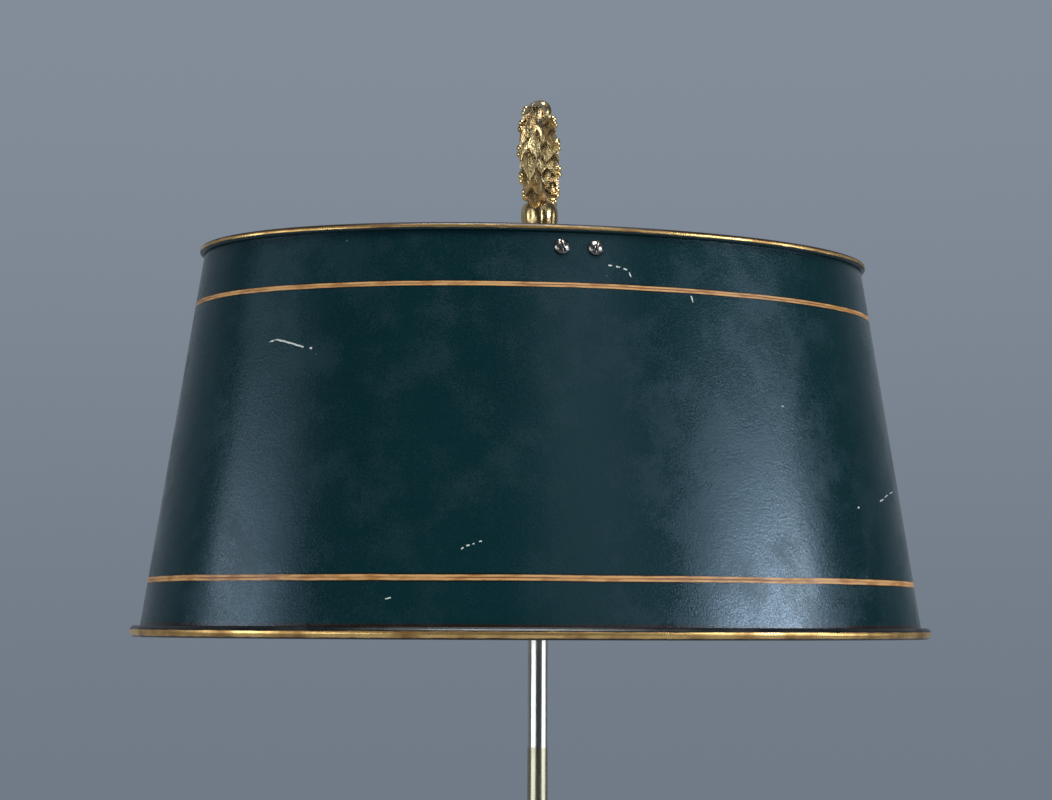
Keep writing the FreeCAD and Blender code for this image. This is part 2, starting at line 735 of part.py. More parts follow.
def make_candle(side, sign):
    nipple = tube_corners("nipple_bore", "nipple_radius", "nipple_bottom", "nipple_top")
    sleeve = tube_corners("sleeve_bore", "sleeve_radius", "cup_floor_top", "sleeve_top")
    shell_bore = "shell_radius - shell_wall"
    shell = tube_corners(shell_bore, "shell_radius", "shell_bottom", "holder_top - 0.5")
    nut_bottom = "cup_floor_top"
    pieces = [
        turned("nipple_" + side, nipple),
        turned("drip_pan_" + side, [
            ("nipple_hole", "arm_top"),
            ("pan_foot", "arm_top"),
            ("pan_radius - 3", "arm_top + pan_depth - 2.6", 36),
            ("pan_radius", "arm_top + pan_depth", 40),
            ("pan_radius - 1", "arm_top + pan_depth + 0.6", 90),
            ("pan_radius - 4.2", "arm_top + pan_depth - 1.4", -40),
            ("pan_foot + 2", "pan_top", -36),
            ("nipple_hole", "pan_top"),
        ]),
        turned("candle_cup_" + side, [
            ("nipple_hole", "pan_top"),
            ("cup_foot_radius", "pan_top"),
            ("cup_foot_radius", "pan_top + 2", 110),
            ("cup_waist_radius", "pan_top + 4.5", -60),
            ("cup_lip_radius - 1.2", "cup_top - cup_height * 0.42", 70),
            ("cup_lip_radius - 2", "cup_top - 4", 24),
            ("cup_lip_radius", "cup_top - 2", -60),
            ("cup_lip_radius - 1", "cup_top", 90),
            ("sleeve_radius + sleeve_clearance", "cup_top"),
            ("sleeve_radius + sleeve_clearance", "cup_floor_top"),
            ("nipple_hole", "cup_floor_top"),
        ]),
        hexagon_nut("cup_nut_" + side, "cup_nut_radius", "nipple_hole", nut_bottom, "cup_nut_height"),
        turned("candle_sleeve_" + side, sleeve),
        turned("lamp_holder_" + side, [
            ("nipple_hole", "cup_nut_top + thread_clearance"),
            ("holder_foot_radius", "cup_nut_top + thread_clearance"),
            ("holder_foot_radius", "holder_waist"),
            ("holder_radius", "holder_waist + 4"),
            ("holder_radius", "holder_top"),
            ("shell_radius + thread_clearance", "holder_top"),
            ("shell_radius + thread_clearance", "shell_bottom"),
            ("nipple_bore", "shell_bottom"),
            ("nipple_bore", "shell_bottom - holder_floor"),
            ("nipple_hole", "shell_bottom - holder_floor"),
        ]),
        turned("holder_shell_" + side, shell),
        turned("holder_contact_" + side, [
            ("0", "shell_bottom"),
            ("contact_radius + 1", "shell_bottom"),
            ("contact_radius + 1", "shell_bottom + contact_height * 0.15"),
            ("contact_radius - 1", "cap_bottom - contact_height * 0.6"),
            ("0", "cap_bottom - contact_height * 0.6"),
        ]),
        turned("bulb_cap_" + side, [
            ("0", "cap_bottom - contact_height * 0.6"),
            ("contact_radius", "cap_bottom - contact_height * 0.6"),
            ("cap_radius", "cap_bottom + 1.5"),
            ("cap_radius", "cap_top"),
            ("cap_radius - cap_wall", "cap_top"),
            ("cap_radius - cap_wall", "cap_bottom + 2"),
            ("0", "cap_bottom + 2"),
        ]),
        turned("bulb_glass_" + side, glass_corners()),
        turned("bulb_stem_" + side, [
            ("0", "cap_bottom + 2"),
            ("cap_radius - cap_wall - glass_wall * 2", "cap_bottom + 2"),
            ("cap_radius - cap_wall - glass_wall * 2", "cap_bottom + 3"),
            ("stem_radius", "cap_bottom + 6", -40),
            ("stem_radius", "cap_top + stem_height"),
            ("stem_radius - stem_flat", "cap_top + stem_height + stem_flat", 90),
            ("0", "cap_top + stem_height + stem_flat"),
        ]),
        make_filament(side),
    ]
    for piece in pieces:
        place(piece, x=f"{sign} * arm_reach")


def glass_corners():
    """The bulb's glass: a candle flame shape with a thin even wall, closed at the tip."""
    neck = "cap_radius - cap_wall - thread_clearance"
    return [
        (neck, "cap_top - 4"),
        (neck, "cap_top"),
        ("cap_radius", "cap_top + 1"),
        ("bulb_low_radius", "bulb_low_z", -31.5),
        ("bulb_high_radius", "bulb_high_z", 70.4),
        ("tip_flat", "bulb_top", -25.8),
        ("0", "bulb_top"),
        ("0", "bulb_top - glass_wall * 3"),
        ("tip_flat", "bulb_top - glass_wall * 3"),
        ("bulb_high_radius - glass_wall * 0.78", "bulb_high_z - glass_wall * 0.63", 25.8),
        ("bulb_low_radius - glass_wall * 0.85", "bulb_low_z + glass_wall * 0.52", -70.4),
        ("cap_radius - glass_wall", "cap_top + 1", 31.5),
        (f"{neck} - glass_wall", "cap_top"),
        (f"{neck} - glass_wall", "cap_top - 4"),
    ]


def make_filament(side):
    """Filament rods that lean out of a small crown on the glass stem."""
    crown = "cap_top + stem_height + stem_flat"
    body = DOC.addObject("PartDesign::Body", "filament_" + side)
    foot = body.newObject("PartDesign::AdditiveCylinder", "filament_crown_" + side)
    bind(foot, Radius="stem_radius", Height="filament_crown")
    place(foot, z=crown)
    for angle in (45, 135, 225, 315):
        wire = body.newObject("PartDesign::AdditiveCylinder", f"filament_{side}_{angle}")
        bind(wire, Radius="filament_radius", Height="filament_height")
        turn = FreeCAD.Rotation(FreeCAD.Vector(0, 0, 1), angle)
        wire.Placement.Rotation = turn * FreeCAD.Rotation(FreeCAD.Vector(0, 1, 0), 12)
        out = "(stem_radius - 2 * filament_radius)"
        place(wire, x=f"{out} * cos({angle})", y=f"{out} * sin({angle})", z=crown + " + filament_crown / 2")
    return body


# The oval shade: a ruled wall between two ovals, with a rolled bead at each edge.


def oval(name, major, minor, height):
    ring = DOC.addObject("Part::Ellipse", name)
    bind(ring, MajorRadius=major, MinorRadius=minor)
    return place(ring, z=height)


def oval_cone(name, inset):
    """The solid inside the shade's outer face, drawn in by an inset."""
    rings = []
    for end, height in (("bottom", "shade_seat"), ("top", "shade_top")):
        major = f"shade_{end}_major - ({inset})"
        minor = f"shade_{end}_minor - ({inset})"
        rings.append(oval(f"{name}_{end}", major, minor, height))
    loft = DOC.addObject("Part::Loft", name)
    loft.Sections = rings
    loft.Solid = True
    loft.Ruled = True
    return loft


def bead(name, major, minor, radius, height):
    """A rolled edge: a round bar that follows an oval just outside the wall."""
    out = f"({radius} - sheet_thickness - bead_bite)"
    line = oval(name + "_line", f"{major} + {out}", f"{minor} + {out}", height)
    section = DOC.addObject("Part::Circle", name + "_section")
    bind(section, Radius=radius)
    section.Placement.Rotation = FreeCAD.Rotation(FreeCAD.Vector(1, 0, 0), 90)
    place(section, x=f"{major} + {out}", z=height)
    roll = DOC.addObject("Part::Sweep", name)
    roll.Sections = [section]
    roll.Spine = (line, ["Edge1"])
    roll.Solid = True
    roll.Frenet = True
    return roll


def combine(kind, name, **links):
    """A boolean of whole shapes."""
    result = DOC.addObject("Part::" + kind, name)
    for link, value in links.items():
        setattr(result, link, value)
    return result


def screw_places():
    """Where the shade screws go: x, the side of the shade, and the turn that points them out."""
    tilt = math.degrees(math.atan(amount("wall_slope")))
    return [(x, y, (90 - tilt) * -y) for y in (-1, 1) for x in (-1, 1)]


# How far each of the four screws was driven home, as the turn of its slot.
SLOT_TURNS = (22, -17, 48, -31)


def at_screws(label, make_one, slot_turns=(0, 0, 0, 0)):
    """Four like bodies at the screw places, as one sub-part."""
    copies = []
    for k, (x, y, turn) in enumerate(screw_places()):
        body = make_one(f"{label}_{k}")
        own_turn = FreeCAD.Rotation(FreeCAD.Vector(0, 0, 1), slot_turns[k])
        body.Placement.Rotation = FreeCAD.Rotation(FreeCAD.Vector(1, 0, 0), turn) * own_turn
        place(body, x=f"{x} * screw_spacing / 2", y=f"{y} * screw_y", z="screw_z")
        copies.append(body)
    return combine("Compound", label, Links=copies)


def make_screw(label):
    """A slotted round-head screw, its head's underside at its own origin."""
    screw = turned(label, [
        ("0", "-screw_length"),
        ("screw_radius - 0.4", "-screw_length"),
        ("screw_radius", "-screw_length + 0.4"),
        ("screw_radius", "screw_clearance"),
        ("screw_head_radius", "screw_clearance"),
        ("screw_head_radius", "screw_clearance + screw_head_height * 0.35"),
        ("tip_flat", "screw_clearance + screw_head_height", 50),
        ("0", "screw_clearance + screw_head_height"),
    ])
    slot = screw.newObject("PartDesign::SubtractiveBox", label + "_slot")
    bind(slot, Length="screw_slot_width", Width="screw_head_radius * 2 + 1", Height="screw_slot_depth + 1")
    floor = "screw_clearance + screw_head_height - screw_slot_depth"
    place(slot, x="-screw_slot_width / 2", y="-screw_head_radius - 0.5", z=floor)
    return screw


def make_screw_nut(label):
    depth = "-(sheet_thickness + tab_thickness + screw_clearance * 3 + nut_thickness)"
    return hexagon_nut(label, "nut_radius", "screw_radius + running_clearance", depth, "nut_thickness")


def make_screw_hole(label):
    hole = DOC.addObject("Part::Cylinder", label)
    bind(hole, Radius="screw_hole", Height="2 * screw_length")
    core = DOC.addObject("Part::Compound", label + "_placed")
    core.Links = [hole]
    place(hole, z="-screw_length")
    return core


def make_shade():
    outside = oval_cone("shade_outside", "0")
    inside = oval_cone("shade_inside", "sheet_thickness")
    wall = combine("Cut", "shade_wall", Base=outside, Tool=inside)
    low = bead("bottom_roll", "shade_bottom_major", "shade_bottom_minor", "bottom_bead", "shade_seat")
    high = bead("top_roll", "shade_top_major", "shade_top_minor", "top_bead", "shade_top")
    sheet = combine("MultiFuse", "shade_sheet", Shapes=[wall, low, high])
    combine("Cut", "shade", Base=sheet, Tool=at_screws("shade_screw_holes", make_screw_hole))
    at_screws("shade_screws", make_screw, SLOT_TURNS)
    at_screws("shade_nuts", make_screw_nut)


def box(name, length, width, height, x, y, z):
    """A box centred on x and y, from z up."""
    block = DOC.addObject("Part::Box", name)
    bind(block, Length=length, Width=width, Height=height)
    return place(block, x=f"{x} - ({length}) / 2", y=f"{y} - ({width}) / 2", z=z)


def make_crossbar():
    """A flat bar across the shade whose ends turn up against the sheet."""
    gap = "sheet_thickness + screw_clearance"
    whole = "2 * shade_bottom_minor"
    tab_block = box("tab_block", "tab_width", whole, "bar_drop - tab_drop", "0", "0", "bar_bottom")
    outside = oval_cone("tab_outside", gap)
    inside = oval_cone("tab_inside", gap + " + tab_thickness")
    tab_blank = combine("Common", "tab_blank", Base=tab_block, Tool=outside)
    tabs = combine("Cut", "tabs", Base=tab_blank, Tool=inside)
    bar_block = box("bar_block", "bar_width", whole, "bar_thickness", "0", "0", "bar_bottom")
    bar_limit = oval_cone("bar_limit", gap + " + tab_thickness / 2")
    bar = combine("Common", "bar", Base=bar_block, Tool=bar_limit)
    disc = DOC.addObject("Part::Cylinder", "bar_disc")
    bind(disc, Radius="bearing_neck_radius + bar_disc_width", Height="bar_thickness")
    place(disc, z="bar_bottom")
    joined = combine("MultiFuse", "crossbar_blank", Shapes=[bar, tabs, disc])
    eye = DOC.addObject("Part::Cylinder", "crossbar_eye")
    bind(eye, Radius="bearing_neck_radius + thread_clearance", Height="bar_thickness * 3")
    place(eye, z="bar_bottom - bar_thickness")
    screw_holes = at_screws("crossbar_screw_holes", make_screw_hole)
    holes = combine("MultiFuse", "crossbar_holes", Shapes=[eye, screw_holes])
    combine("Cut", "crossbar", Base=joined, Tool=holes)
    turned("shade_bearing", [
        ("bearing_bore", "bearing_bottom"),
        ("bearing_radius", "bearing_bottom"),
        ("bearing_radius", "bar_bottom"),
        ("bearing_neck_radius", "bar_bottom"),
        ("bearing_neck_radius", "bearing_nut_top - 0.5"),
        ("bearing_bore", "bearing_nut_top - 0.5"),
    ])
    bore = "bearing_neck_radius + thread_clearance"
    bottom = "bar_top + running_clearance"
    hexagon_nut("bearing_nut", "bearing_nut_radius", bore, bottom, "bearing_nut_height")


# Clamp collar under the shade, with its thumb screw.


def make_clamp():
    collar = turned("clamp_collar", [
        ("bearing_bore", "collar_bottom"),
        ("collar_radius - 1", "collar_bottom"),
        ("collar_radius", "collar_bottom + 1", 90),
        ("collar_radius", "collar_bottom + 3"),
        ("collar_radius - collar_waist", "collar_bottom + 4"),
        ("collar_radius - collar_waist", "bearing_bottom - 4"),
        ("collar_radius", "bearing_bottom - 3"),
        ("collar_radius", "bearing_bottom"),
        ("bearing_bore", "bearing_bottom"),
    ])
    boss = collar.newObject("PartDesign::AdditiveCylinder", "clamp_boss")
    bind(boss, Radius="boss_radius", Height="collar_radius - rod_radius - 2 + boss_length")
    turn = FreeCAD.Rotation(FreeCAD.Vector(0, 0, 1), FreeCAD.Vector(1, 0, 0))
    boss.Placement.Rotation = turn
    place(boss, x="rod_radius + 2", z="thumb_z")
    hole = "thumb_radius + running_clearance"
    drill(collar, "thumb_hole", hole, "collar_radius + boss_length + 1", ("0", "0", "thumb_z"), (1, 0, 0))
    screw = turned("thumb_screw", [
        ("0", "rod_radius + thumb_gap"),
        ("thumb_radius - 0.5", "rod_radius + thumb_gap"),
        ("thumb_radius", "rod_radius + 1"),
        ("thumb_radius", "collar_radius + boss_length + 1.5"),
        ("thumb_radius + 1.5", "collar_radius + boss_length + 2.5"),
        ("thumb_radius + 1.5", "collar_radius + boss_length + 4", 120),
        ("thumb_radius", "collar_radius + boss_length + 4.5"),
        ("thumb_radius", "thumb_head_start + 1"),
        ("0", "thumb_head_start + 1"),
    ])
    sketch = new_sketch(screw, "XZ_Plane", "thumb_head_outline")
    middle = "thumb_head_start + thumb_head_radius"
    for name, radius in (("rim", "thumb_head_radius"), ("eye", "thumb_head_hole")):
        circle = Part.Circle(FreeCAD.Vector(0, 30, 0), FreeCAD.Vector(0, 0, 1), 5)
        ring = sketch.addGeometry(circle, False)
        sketch.addConstraint(Sketcher.Constraint("PointOnObject", ring, 3, -2))
        distance = Sketcher.Constraint("DistanceY", -1, 1, ring, 3, 30)
        hold(sketch, name + "_place", distance, middle)
        hold(sketch, name, Sketcher.Constraint("Radius", ring, 5), radius)
    head = screw.newObject("PartDesign::Pad", "thumb_head")
    head.Profile = (sketch, [""])
    head.Midplane = True
    bind(head, Length="thumb_head_thickness")
    screw.Placement.Rotation = turn
    place(screw, z="thumb_z")


# Handle: a turned socket on the rod's end and a leafy ring cast in one with its cup.

# Where the whorls start, in degrees from the top, and how far each leans in from the tangent.
WHORL_STARTS = (2, 37, 72, 107, 142)
WHORL_LEAN = 18


def make_handle():
    turned("handle_socket", [
        ("rod_radius + thread_clearance", "socket_bottom"),
        ("socket_foot_radius", "socket_bottom"),
        ("socket_foot_radius", "socket_bottom + 4", 110),
        ("socket_foot_radius - 2", "socket_bottom + 5"),
        ("socket_cup_radius - 1", "socket_cup_bottom", -34),
        ("0", "socket_cup_bottom"),
        ("0", "rod_top + thread_clearance"),
        ("rod_radius + thread_clearance", "rod_top + thread_clearance"),
    ])
    make_wreath()


def make_wreath():
    """A ring in the YZ plane wrapped in whorls of leaves that point down both sides from the top,
    its lowest part sunk in the cup that it stands on."""
    ring = DOC.addObject("Part::Torus", "wreath_core")
    bind(ring, Radius1="wreath_line", Radius2="wreath_core")
    ring.Placement.Rotation = FreeCAD.Rotation(FreeCAD.Vector(0, 1, 0), 90)
    place(ring, z="wreath_middle")
    knot = DOC.addObject("Part::Sphere", "wreath_knot")
    bind(knot, Radius="wreath_leaf")
    place(knot, z="wreath_middle + wreath_line")
    cup = turned("wreath_cup", [
        ("0", "socket_cup_bottom"),
        ("socket_cup_radius - 1", "socket_cup_bottom"),
        ("socket_cup_radius", "socket_cup_bottom + 5", 40),
        ("socket_cup_radius - 0.6", "socket_top - 2", 30),
        ("socket_top_radius", "socket_top", 40),
        ("0", "socket_top"),
    ])
    pieces = [ring, knot, cup]
    for side in (-1, 1):
        for row, start in enumerate(WHORL_STARTS):
            pieces.append(make_whorl(f"wreath_leaves_{side + 1}_{row}", side, start))
    wreath = combine("MultiFuse", "wreath", Shapes=pieces)
    wreath.setExpression(".Placement.Rotation.Angle", bound("-wreath_turn"))


def make_whorl(name, side, start):
    """One whorl: a cone along the ring, thicker where the leaf tips stand off, at its lower end."""
    whorl = DOC.addObject("Part::Cone", name)
    bind(whorl, Radius1="wreath_leaf_tip", Radius2="wreath_leaf", Height="wreath_leaf_length")
    turn = side * (90 + start + WHORL_LEAN)
    whorl.Placement.Rotation = FreeCAD.Rotation(FreeCAD.Vector(1, 0, 0), -turn)
    y = f"{side} * wreath_line * sin({start})"
    return place(whorl, y=y, z=f"wreath_middle + wreath_line * cos({start})")


SUB_PARTS = [
    "felt_pad", "cover_plate", "ballast", "base_dish", "cord_bush",
    "rod", "rod_washer", "rod_nut",
    "stem_foot", "fluted_shaft", "capital",
    "hub", "hub_lid", "lock_ring", "grub_screw",
    "switch_case", "switch_nut", "switch_knob",
    "handle_socket", "wreath",
    "clamp_collar", "thumb_screw",
    "shade", "shade_screws", "shade_nuts", "crossbar", "shade_bearing", "bearing_nut",
]
SIDE_PARTS = [
    "arm", "arm_nut", "nipple", "drip_pan", "candle_cup", "cup_nut",
    "candle_sleeve", "lamp_holder", "holder_shell", "holder_contact",
    "bulb_cap", "bulb_glass", "bulb_stem", "filament",
]


def build():
    make_base()
    make_rod()
    make_stem()
    make_hub()
    make_switch()
    for side, sign, turn in (("right", 1, 0), ("left", -1, 180)):
        make_arm(side, turn)
        make_candle(side, sign)
    make_shade()
    make_crossbar()
    make_clamp()
    make_handle()
    DOC.recompute()


def export():
    """Checks every object, then writes each sub-part to its own file."""
    failed = [o.Label for o in DOC.Objects if {"Invalid", "Error"} & set(o.State)]
    if failed:
        raise RuntimeError(f"these objects failed: {failed}")
    os.makedirs("parts", exist_ok=True)
    names = SUB_PARTS + [f"{name}_{side}" for name in SIDE_PARTS for side in ("right", "left")]
    for name in names:
        shape = DOC.getObjectsByLabel(name)[0].Shape
        if shape.isNull() or not shape.isValid():
            raise RuntimeError(f"{name} has no valid shape")
        shape.exportStep(f"parts/{name}.step")
        print(f"{name}: {len(shape.Solids)} solids, {shape.Volume:.1f} mm3")


build()
export()
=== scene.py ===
import bpy
import bmesh
from math import atan2, cos, pi, radians, sin, sqrt
from mathutils import Matrix, Vector


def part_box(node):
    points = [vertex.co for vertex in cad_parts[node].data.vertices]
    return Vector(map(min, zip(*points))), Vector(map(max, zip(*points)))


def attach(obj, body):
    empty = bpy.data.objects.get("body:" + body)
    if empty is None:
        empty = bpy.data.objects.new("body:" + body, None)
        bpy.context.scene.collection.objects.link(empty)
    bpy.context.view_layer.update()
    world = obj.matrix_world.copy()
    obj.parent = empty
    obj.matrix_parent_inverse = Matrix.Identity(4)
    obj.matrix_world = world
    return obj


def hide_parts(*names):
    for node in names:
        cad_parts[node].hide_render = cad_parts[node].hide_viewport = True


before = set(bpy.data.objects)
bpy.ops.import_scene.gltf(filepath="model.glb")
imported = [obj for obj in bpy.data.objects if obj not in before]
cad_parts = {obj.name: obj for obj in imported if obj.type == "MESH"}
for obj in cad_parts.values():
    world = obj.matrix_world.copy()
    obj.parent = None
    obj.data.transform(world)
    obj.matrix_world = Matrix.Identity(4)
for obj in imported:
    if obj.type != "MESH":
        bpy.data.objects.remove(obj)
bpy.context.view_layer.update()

# Shade sheet
# A sheet of tinned iron bent into an oval cone, open above and below, painted a very dark
# blue-green outside and cream inside, with two thin gilt lines drawn by hand near its edges.

MM = 0.001
scene = bpy.context.scene
seat = 455 * MM
top = 637 * MM
oval_low = Vector((191.0, 127.5)) * MM
oval_high = Vector((164.0, 91.5)) * MM
sheet_thickness = 0.8 * MM
oval_steps = 288


class Socket:
    """A shader socket; sums on it add Math nodes, and node() adds any other kind."""

    def __init__(self, tree, socket=None):
        self.tree = tree
        self.socket = socket

    def node(self, kind, inputs=None, output=0, **settings):
        made = self.tree.nodes.new(kind)
        for name, value in settings.items():
            setattr(made, name, value)
        for name, value in (inputs or {}).items():
            self.plug(made.inputs[name], value)
        return Socket(self.tree, made.outputs[output])

    def plug(self, into, value):
        if isinstance(value, Socket):
            self.tree.links.new(value.socket, into)
        elif isinstance(value, (tuple, list)) and into.type == "RGBA":
            into.default_value = (*value, 1)
        else:
            into.default_value = value

    def math(self, operation, *values):
        return self.node("ShaderNodeMath", dict(enumerate(values)), operation=operation)

    def __add__(self, other):
        return self.math("ADD", self, other)

    __radd__ = __add__

    def __sub__(self, other):
        return self.math("SUBTRACT", self, other)

    def __rsub__(self, other):
        return self.math("SUBTRACT", other, self)

    def __mul__(self, other):
        return self.math("MULTIPLY", self, other)

    __rmul__ = __mul__

    def __lt__(self, other):
        return self.math("LESS_THAN", self, other)

    def __gt__(self, other):
        return self.math("GREATER_THAN", self, other)

    def __abs__(self):
        return self.math("ABSOLUTE", self)

    def sine(self):
        return self.math("SINE", self)

    def root(self):
        return self.math("SQRT", self)

    def either(self, other):
        return self.math("MAXIMUM", self, other)

    def soft(self, low, high):
        """0 below low, 1 above high, smooth between them."""
        inputs = {0: self, 1: low, 2: high}
        return self.node("ShaderNodeMapRange", inputs, interpolation_type="SMOOTHSTEP")

    def mix(self, first, second):
        """The first colour where this socket is 0 and the second where it is 1."""
        inputs = {0: self, 6: first, 7: second}
        return self.node("ShaderNodeMix", inputs, output=2, data_type="RGBA")


class Tools(Socket):
    """What a finish is painted with: places, noise and bumps."""

    def place(self):
        return self.node("ShaderNodeTexCoord", output=3)

    def axes(self):
        split = self.node("ShaderNodeSeparateXYZ", {0: self.place()})
        return [Socket(self.tree, output) for output in split.socket.node.outputs]

    def noise(self, per_metre, detail=3.0, stretch=(1, 1, 1), roughness=0.5):
        place = self.node("ShaderNodeMapping", {0: self.place(), 3: stretch})
        inputs = {"Vector": place, "Scale": per_metre, "Detail": detail, "Roughness": roughness}
        return self.node("ShaderNodeTexNoise", inputs)

    def spots(self, per_metre):
        """The distance to the nearest of many scattered points, in cells."""
        return self.node("ShaderNodeTexVoronoi", {"Vector": self.place(), "Scale": per_metre})

    def bump(self, height, depth):
        return self.node("ShaderNodeBump", {"Strength": 1.0, "Distance": depth, "Height": height})


def finish(name, paint):
    """A material whose principled shader takes what paint(tools) gives for its sockets."""
    made = bpy.data.materials.new(name)
    made.use_nodes = True
    shader = made.node_tree.nodes["Principled BSDF"]
    tools = Tools(made.node_tree)
    for socket, value in paint(tools).items():
        tools.plug(shader.inputs[socket], value)
    return made


def add_piece(name, mesh, body, slot, *materials):
    """Puts a mesh into the scene as a piece that rides on a body."""
    for material in materials:
        mesh.materials.append(material)
    piece = bpy.data.objects.new(name, mesh)
    scene.collection.objects.link(piece)
    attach(piece, body)
    return piece


def as_mesh(bm, name, sharp=radians(35)):
    """The mesh of a bmesh, with smooth shading between its sharp edges."""
    mesh = bpy.data.meshes.new(name)
    bm.to_mesh(mesh)
    bm.free()
    mesh.shade_smooth()
    mesh.set_sharp_from_angle(angle=sharp)
    return mesh


paint_dark = (0.0006, 0.0170, 0.0200)
paint_worn = (0.0022, 0.0245, 0.0275)
paint_nib = (0.090, 0.150, 0.150)
line_light = (0.640, 0.340, 0.120)
line_warm = (0.400, 0.175, 0.045)
line_dark = (0.170, 0.055, 0.012)
line_edge = (0.0015, 0.0040, 0.0045)
edge_brown = (0.020, 0.009, 0.004)
edge_black = (0.003, 0.004, 0.005)
chip_white = (0.62, 0.62, 0.56)
cream_light = (0.74, 0.70, 0.60)
cream_dark = (0.62, 0.57, 0.46)
# Each gilt line: its height over the lower edge and its width. The hand that drew them wavered.
gilt_lines = [(155.3 * MM, 2.5 * MM), (23.8 * MM, 3.0 * MM)]
hand_waver = 0.9 * MM
ragged_edge = 0.8 * MM
# The paint is darkened to brown from here down to the lower roll: painted shade in the crease over
# the roll.
crease_shade_from = 4.4 * MM
crease_shade_full = 3.4 * MM
# Scratches through the paint of the front, in millimetres: x and height over the lower edge of
# one end, how far each runs and rises, and its width.
scratches = [
    (-136.5, 130.2, 3.5, 1.0, 0.5),
    (-133.0, 131.2, 6.0, -2.0, 0.8),
    (-127.0, 129.2, 5.5, -2.2, 0.7),
    (-119.0, 126.6, 1.0, -0.2, 0.9),
    (13.5, 165.4, 1.6, -0.2, 0.6),
    (17.1, 165.0, 1.7, -0.4, 0.6),
    (20.5, 164.1, 1.6, -0.5, 0.7),
    (23.1, 162.4, 0.8, -2.0, 0.5),
    (52.6, 153.0, 0.7, -3.0, 0.5),
    (-56.0, 36.0, 1.0, 0.6, 0.5),
    (-53.8, 37.4, 1.3, 0.3, 0.7),
    (-51.2, 38.0, 0.8, 0.5, 0.5),
    (-48.4, 39.2, 1.2, 0.3, 0.6),
    (136.5, 58.6, 1.2, 0.2, 0.7),
    (153.0, 62.6, 3.0, 1.2, 0.4),
    (157.4, 64.8, 2.6, 1.4, 0.5),
    (162.2, 67.2, 3.2, 1.0, 0.4),
    (-88.0, 14.5, 2.4, 0.5, 0.5),
    (96.0, 104.0, 1.0, -0.3, 0.6),
]


def paint_outside(tools):
    x, y, z = tools.axes()
    waver = tools.noise(30, detail=3) - 0.5
    height = z - seat + waver * hand_waver
    light = paint_lines(height, 0.40)
    rubbed = tools.noise(24, detail=3).soft(0.42, 0.56)
    cloud = tools.noise(9, detail=5, stretch=(1, 1, 0.45)).soft(0.38, 0.78)
    speckle = tools.noise(900, detail=2)
    colour = (cloud * 0.7 + speckle * 0.3).mix(paint_dark, paint_worn)
    nibs = (tools.spots(95) < 0.035) * (tools.noise(45) > 0.60)
    colour = nibs.mix(colour, paint_nib)
    colour = (paint_lines(height, 0.64) * 0.9).mix(colour, line_edge)
    streaks = tools.noise(110, detail=4, stretch=(1, 1, 5)).soft(0.40, 0.66)
    colour = light.mix(colour, streaks.mix(line_light, line_warm))
    colour = (paint_lines(height, 0.10) * (0.35 + rubbed * 0.65)).mix(colour, line_dark)
    # Painted shade: the paint turns brown in the crease just above the lower roll.
    edge = (z - seat).soft(crease_shade_from, crease_shade_full)
    colour = edge.mix(colour, edge_brown)
    scratched = paint_scratches(tools, x, y, z)
    colour = scratched.mix(colour, chip_white)
    scuffs = tools.noise(160, detail=8, roughness=0.72)
    grain = tools.noise(950, detail=3, roughness=0.6)
    grit = tools.noise(1500, detail=3).soft(0.38, 0.64)
    handled = tools.noise(45, detail=5, roughness=0.6).soft(0.40, 0.66)
    rough = 0.13 + grit * 0.15 + handled * 0.15 + light * 0.2 + scratched * 0.3
    relief = tools.bump(scuffs * 0.6 + grain, 0.09 * MM)
    return {
        "Base Color": colour,
        "Roughness": rough,
        "Specular Tint": (0.60, 0.78, 1.0),
        "Coat Weight": 0.10 - light * 0.10,
        "Coat Roughness": 0.16,
        "Coat Tint": (0.92, 0.97, 1.0),
        "Normal": relief,
    }


def paint_lines(height, share):
    """1 within a share of each gilt line's width of its middle, with soft edges."""
    blur = 0.08
    marks = [
        1 - abs(height - middle).soft((share - blur) * width, (share + blur) * width)
        for middle, width in gilt_lines
    ]
    return marks[0].either(marks[1])


def paint_scratches(tools, x, y, z):
    """1 on the scratches, each a short strip with a ragged outline, on the front alone."""
    ragged = (tools.noise(900, detail=2) - 0.5) * ragged_edge
    found = None
    for across, up, run, rise, width in scratches:
        length = sqrt(run * run + rise * rise)
        from_x = x - across * MM
        from_z = z - seat - up * MM
        along = from_x * (run / length) + from_z * (rise / length)
        off = abs(from_x * (rise / length) - from_z * (run / length)) + ragged
        on_strip = (off < width / 2 * MM) * (along > 0) * (along < length * MM)
        scratch = on_strip * (y < 0)
        found = scratch if found is None else found.either(scratch)
    return found


def paint_inside(tools):
    cloud = tools.noise(14, detail=4).soft(0.35, 0.7)
    brush = tools.noise(60, stretch=(1, 1, 6))
    return {
        "Base Color": cloud.mix(cream_light, cream_dark),
        "Roughness": 0.42 + brush * 0.15,
        "Normal": tools.bump(brush, 0.05 * MM),
    }


shade_outside = finish("dark_tole_paint", paint_outside)
shade_inside = finish("cream_lining_paint", paint_inside)


def on_oval(half_axes, inset, turn):
    """A point of an oval drawn in by an inset."""
    a, b = half_axes
    out = Vector((cos(turn) / a, sin(turn) / b)).normalized()
    return a * cos(turn) - inset * out.x, b * sin(turn) - inset * out.y


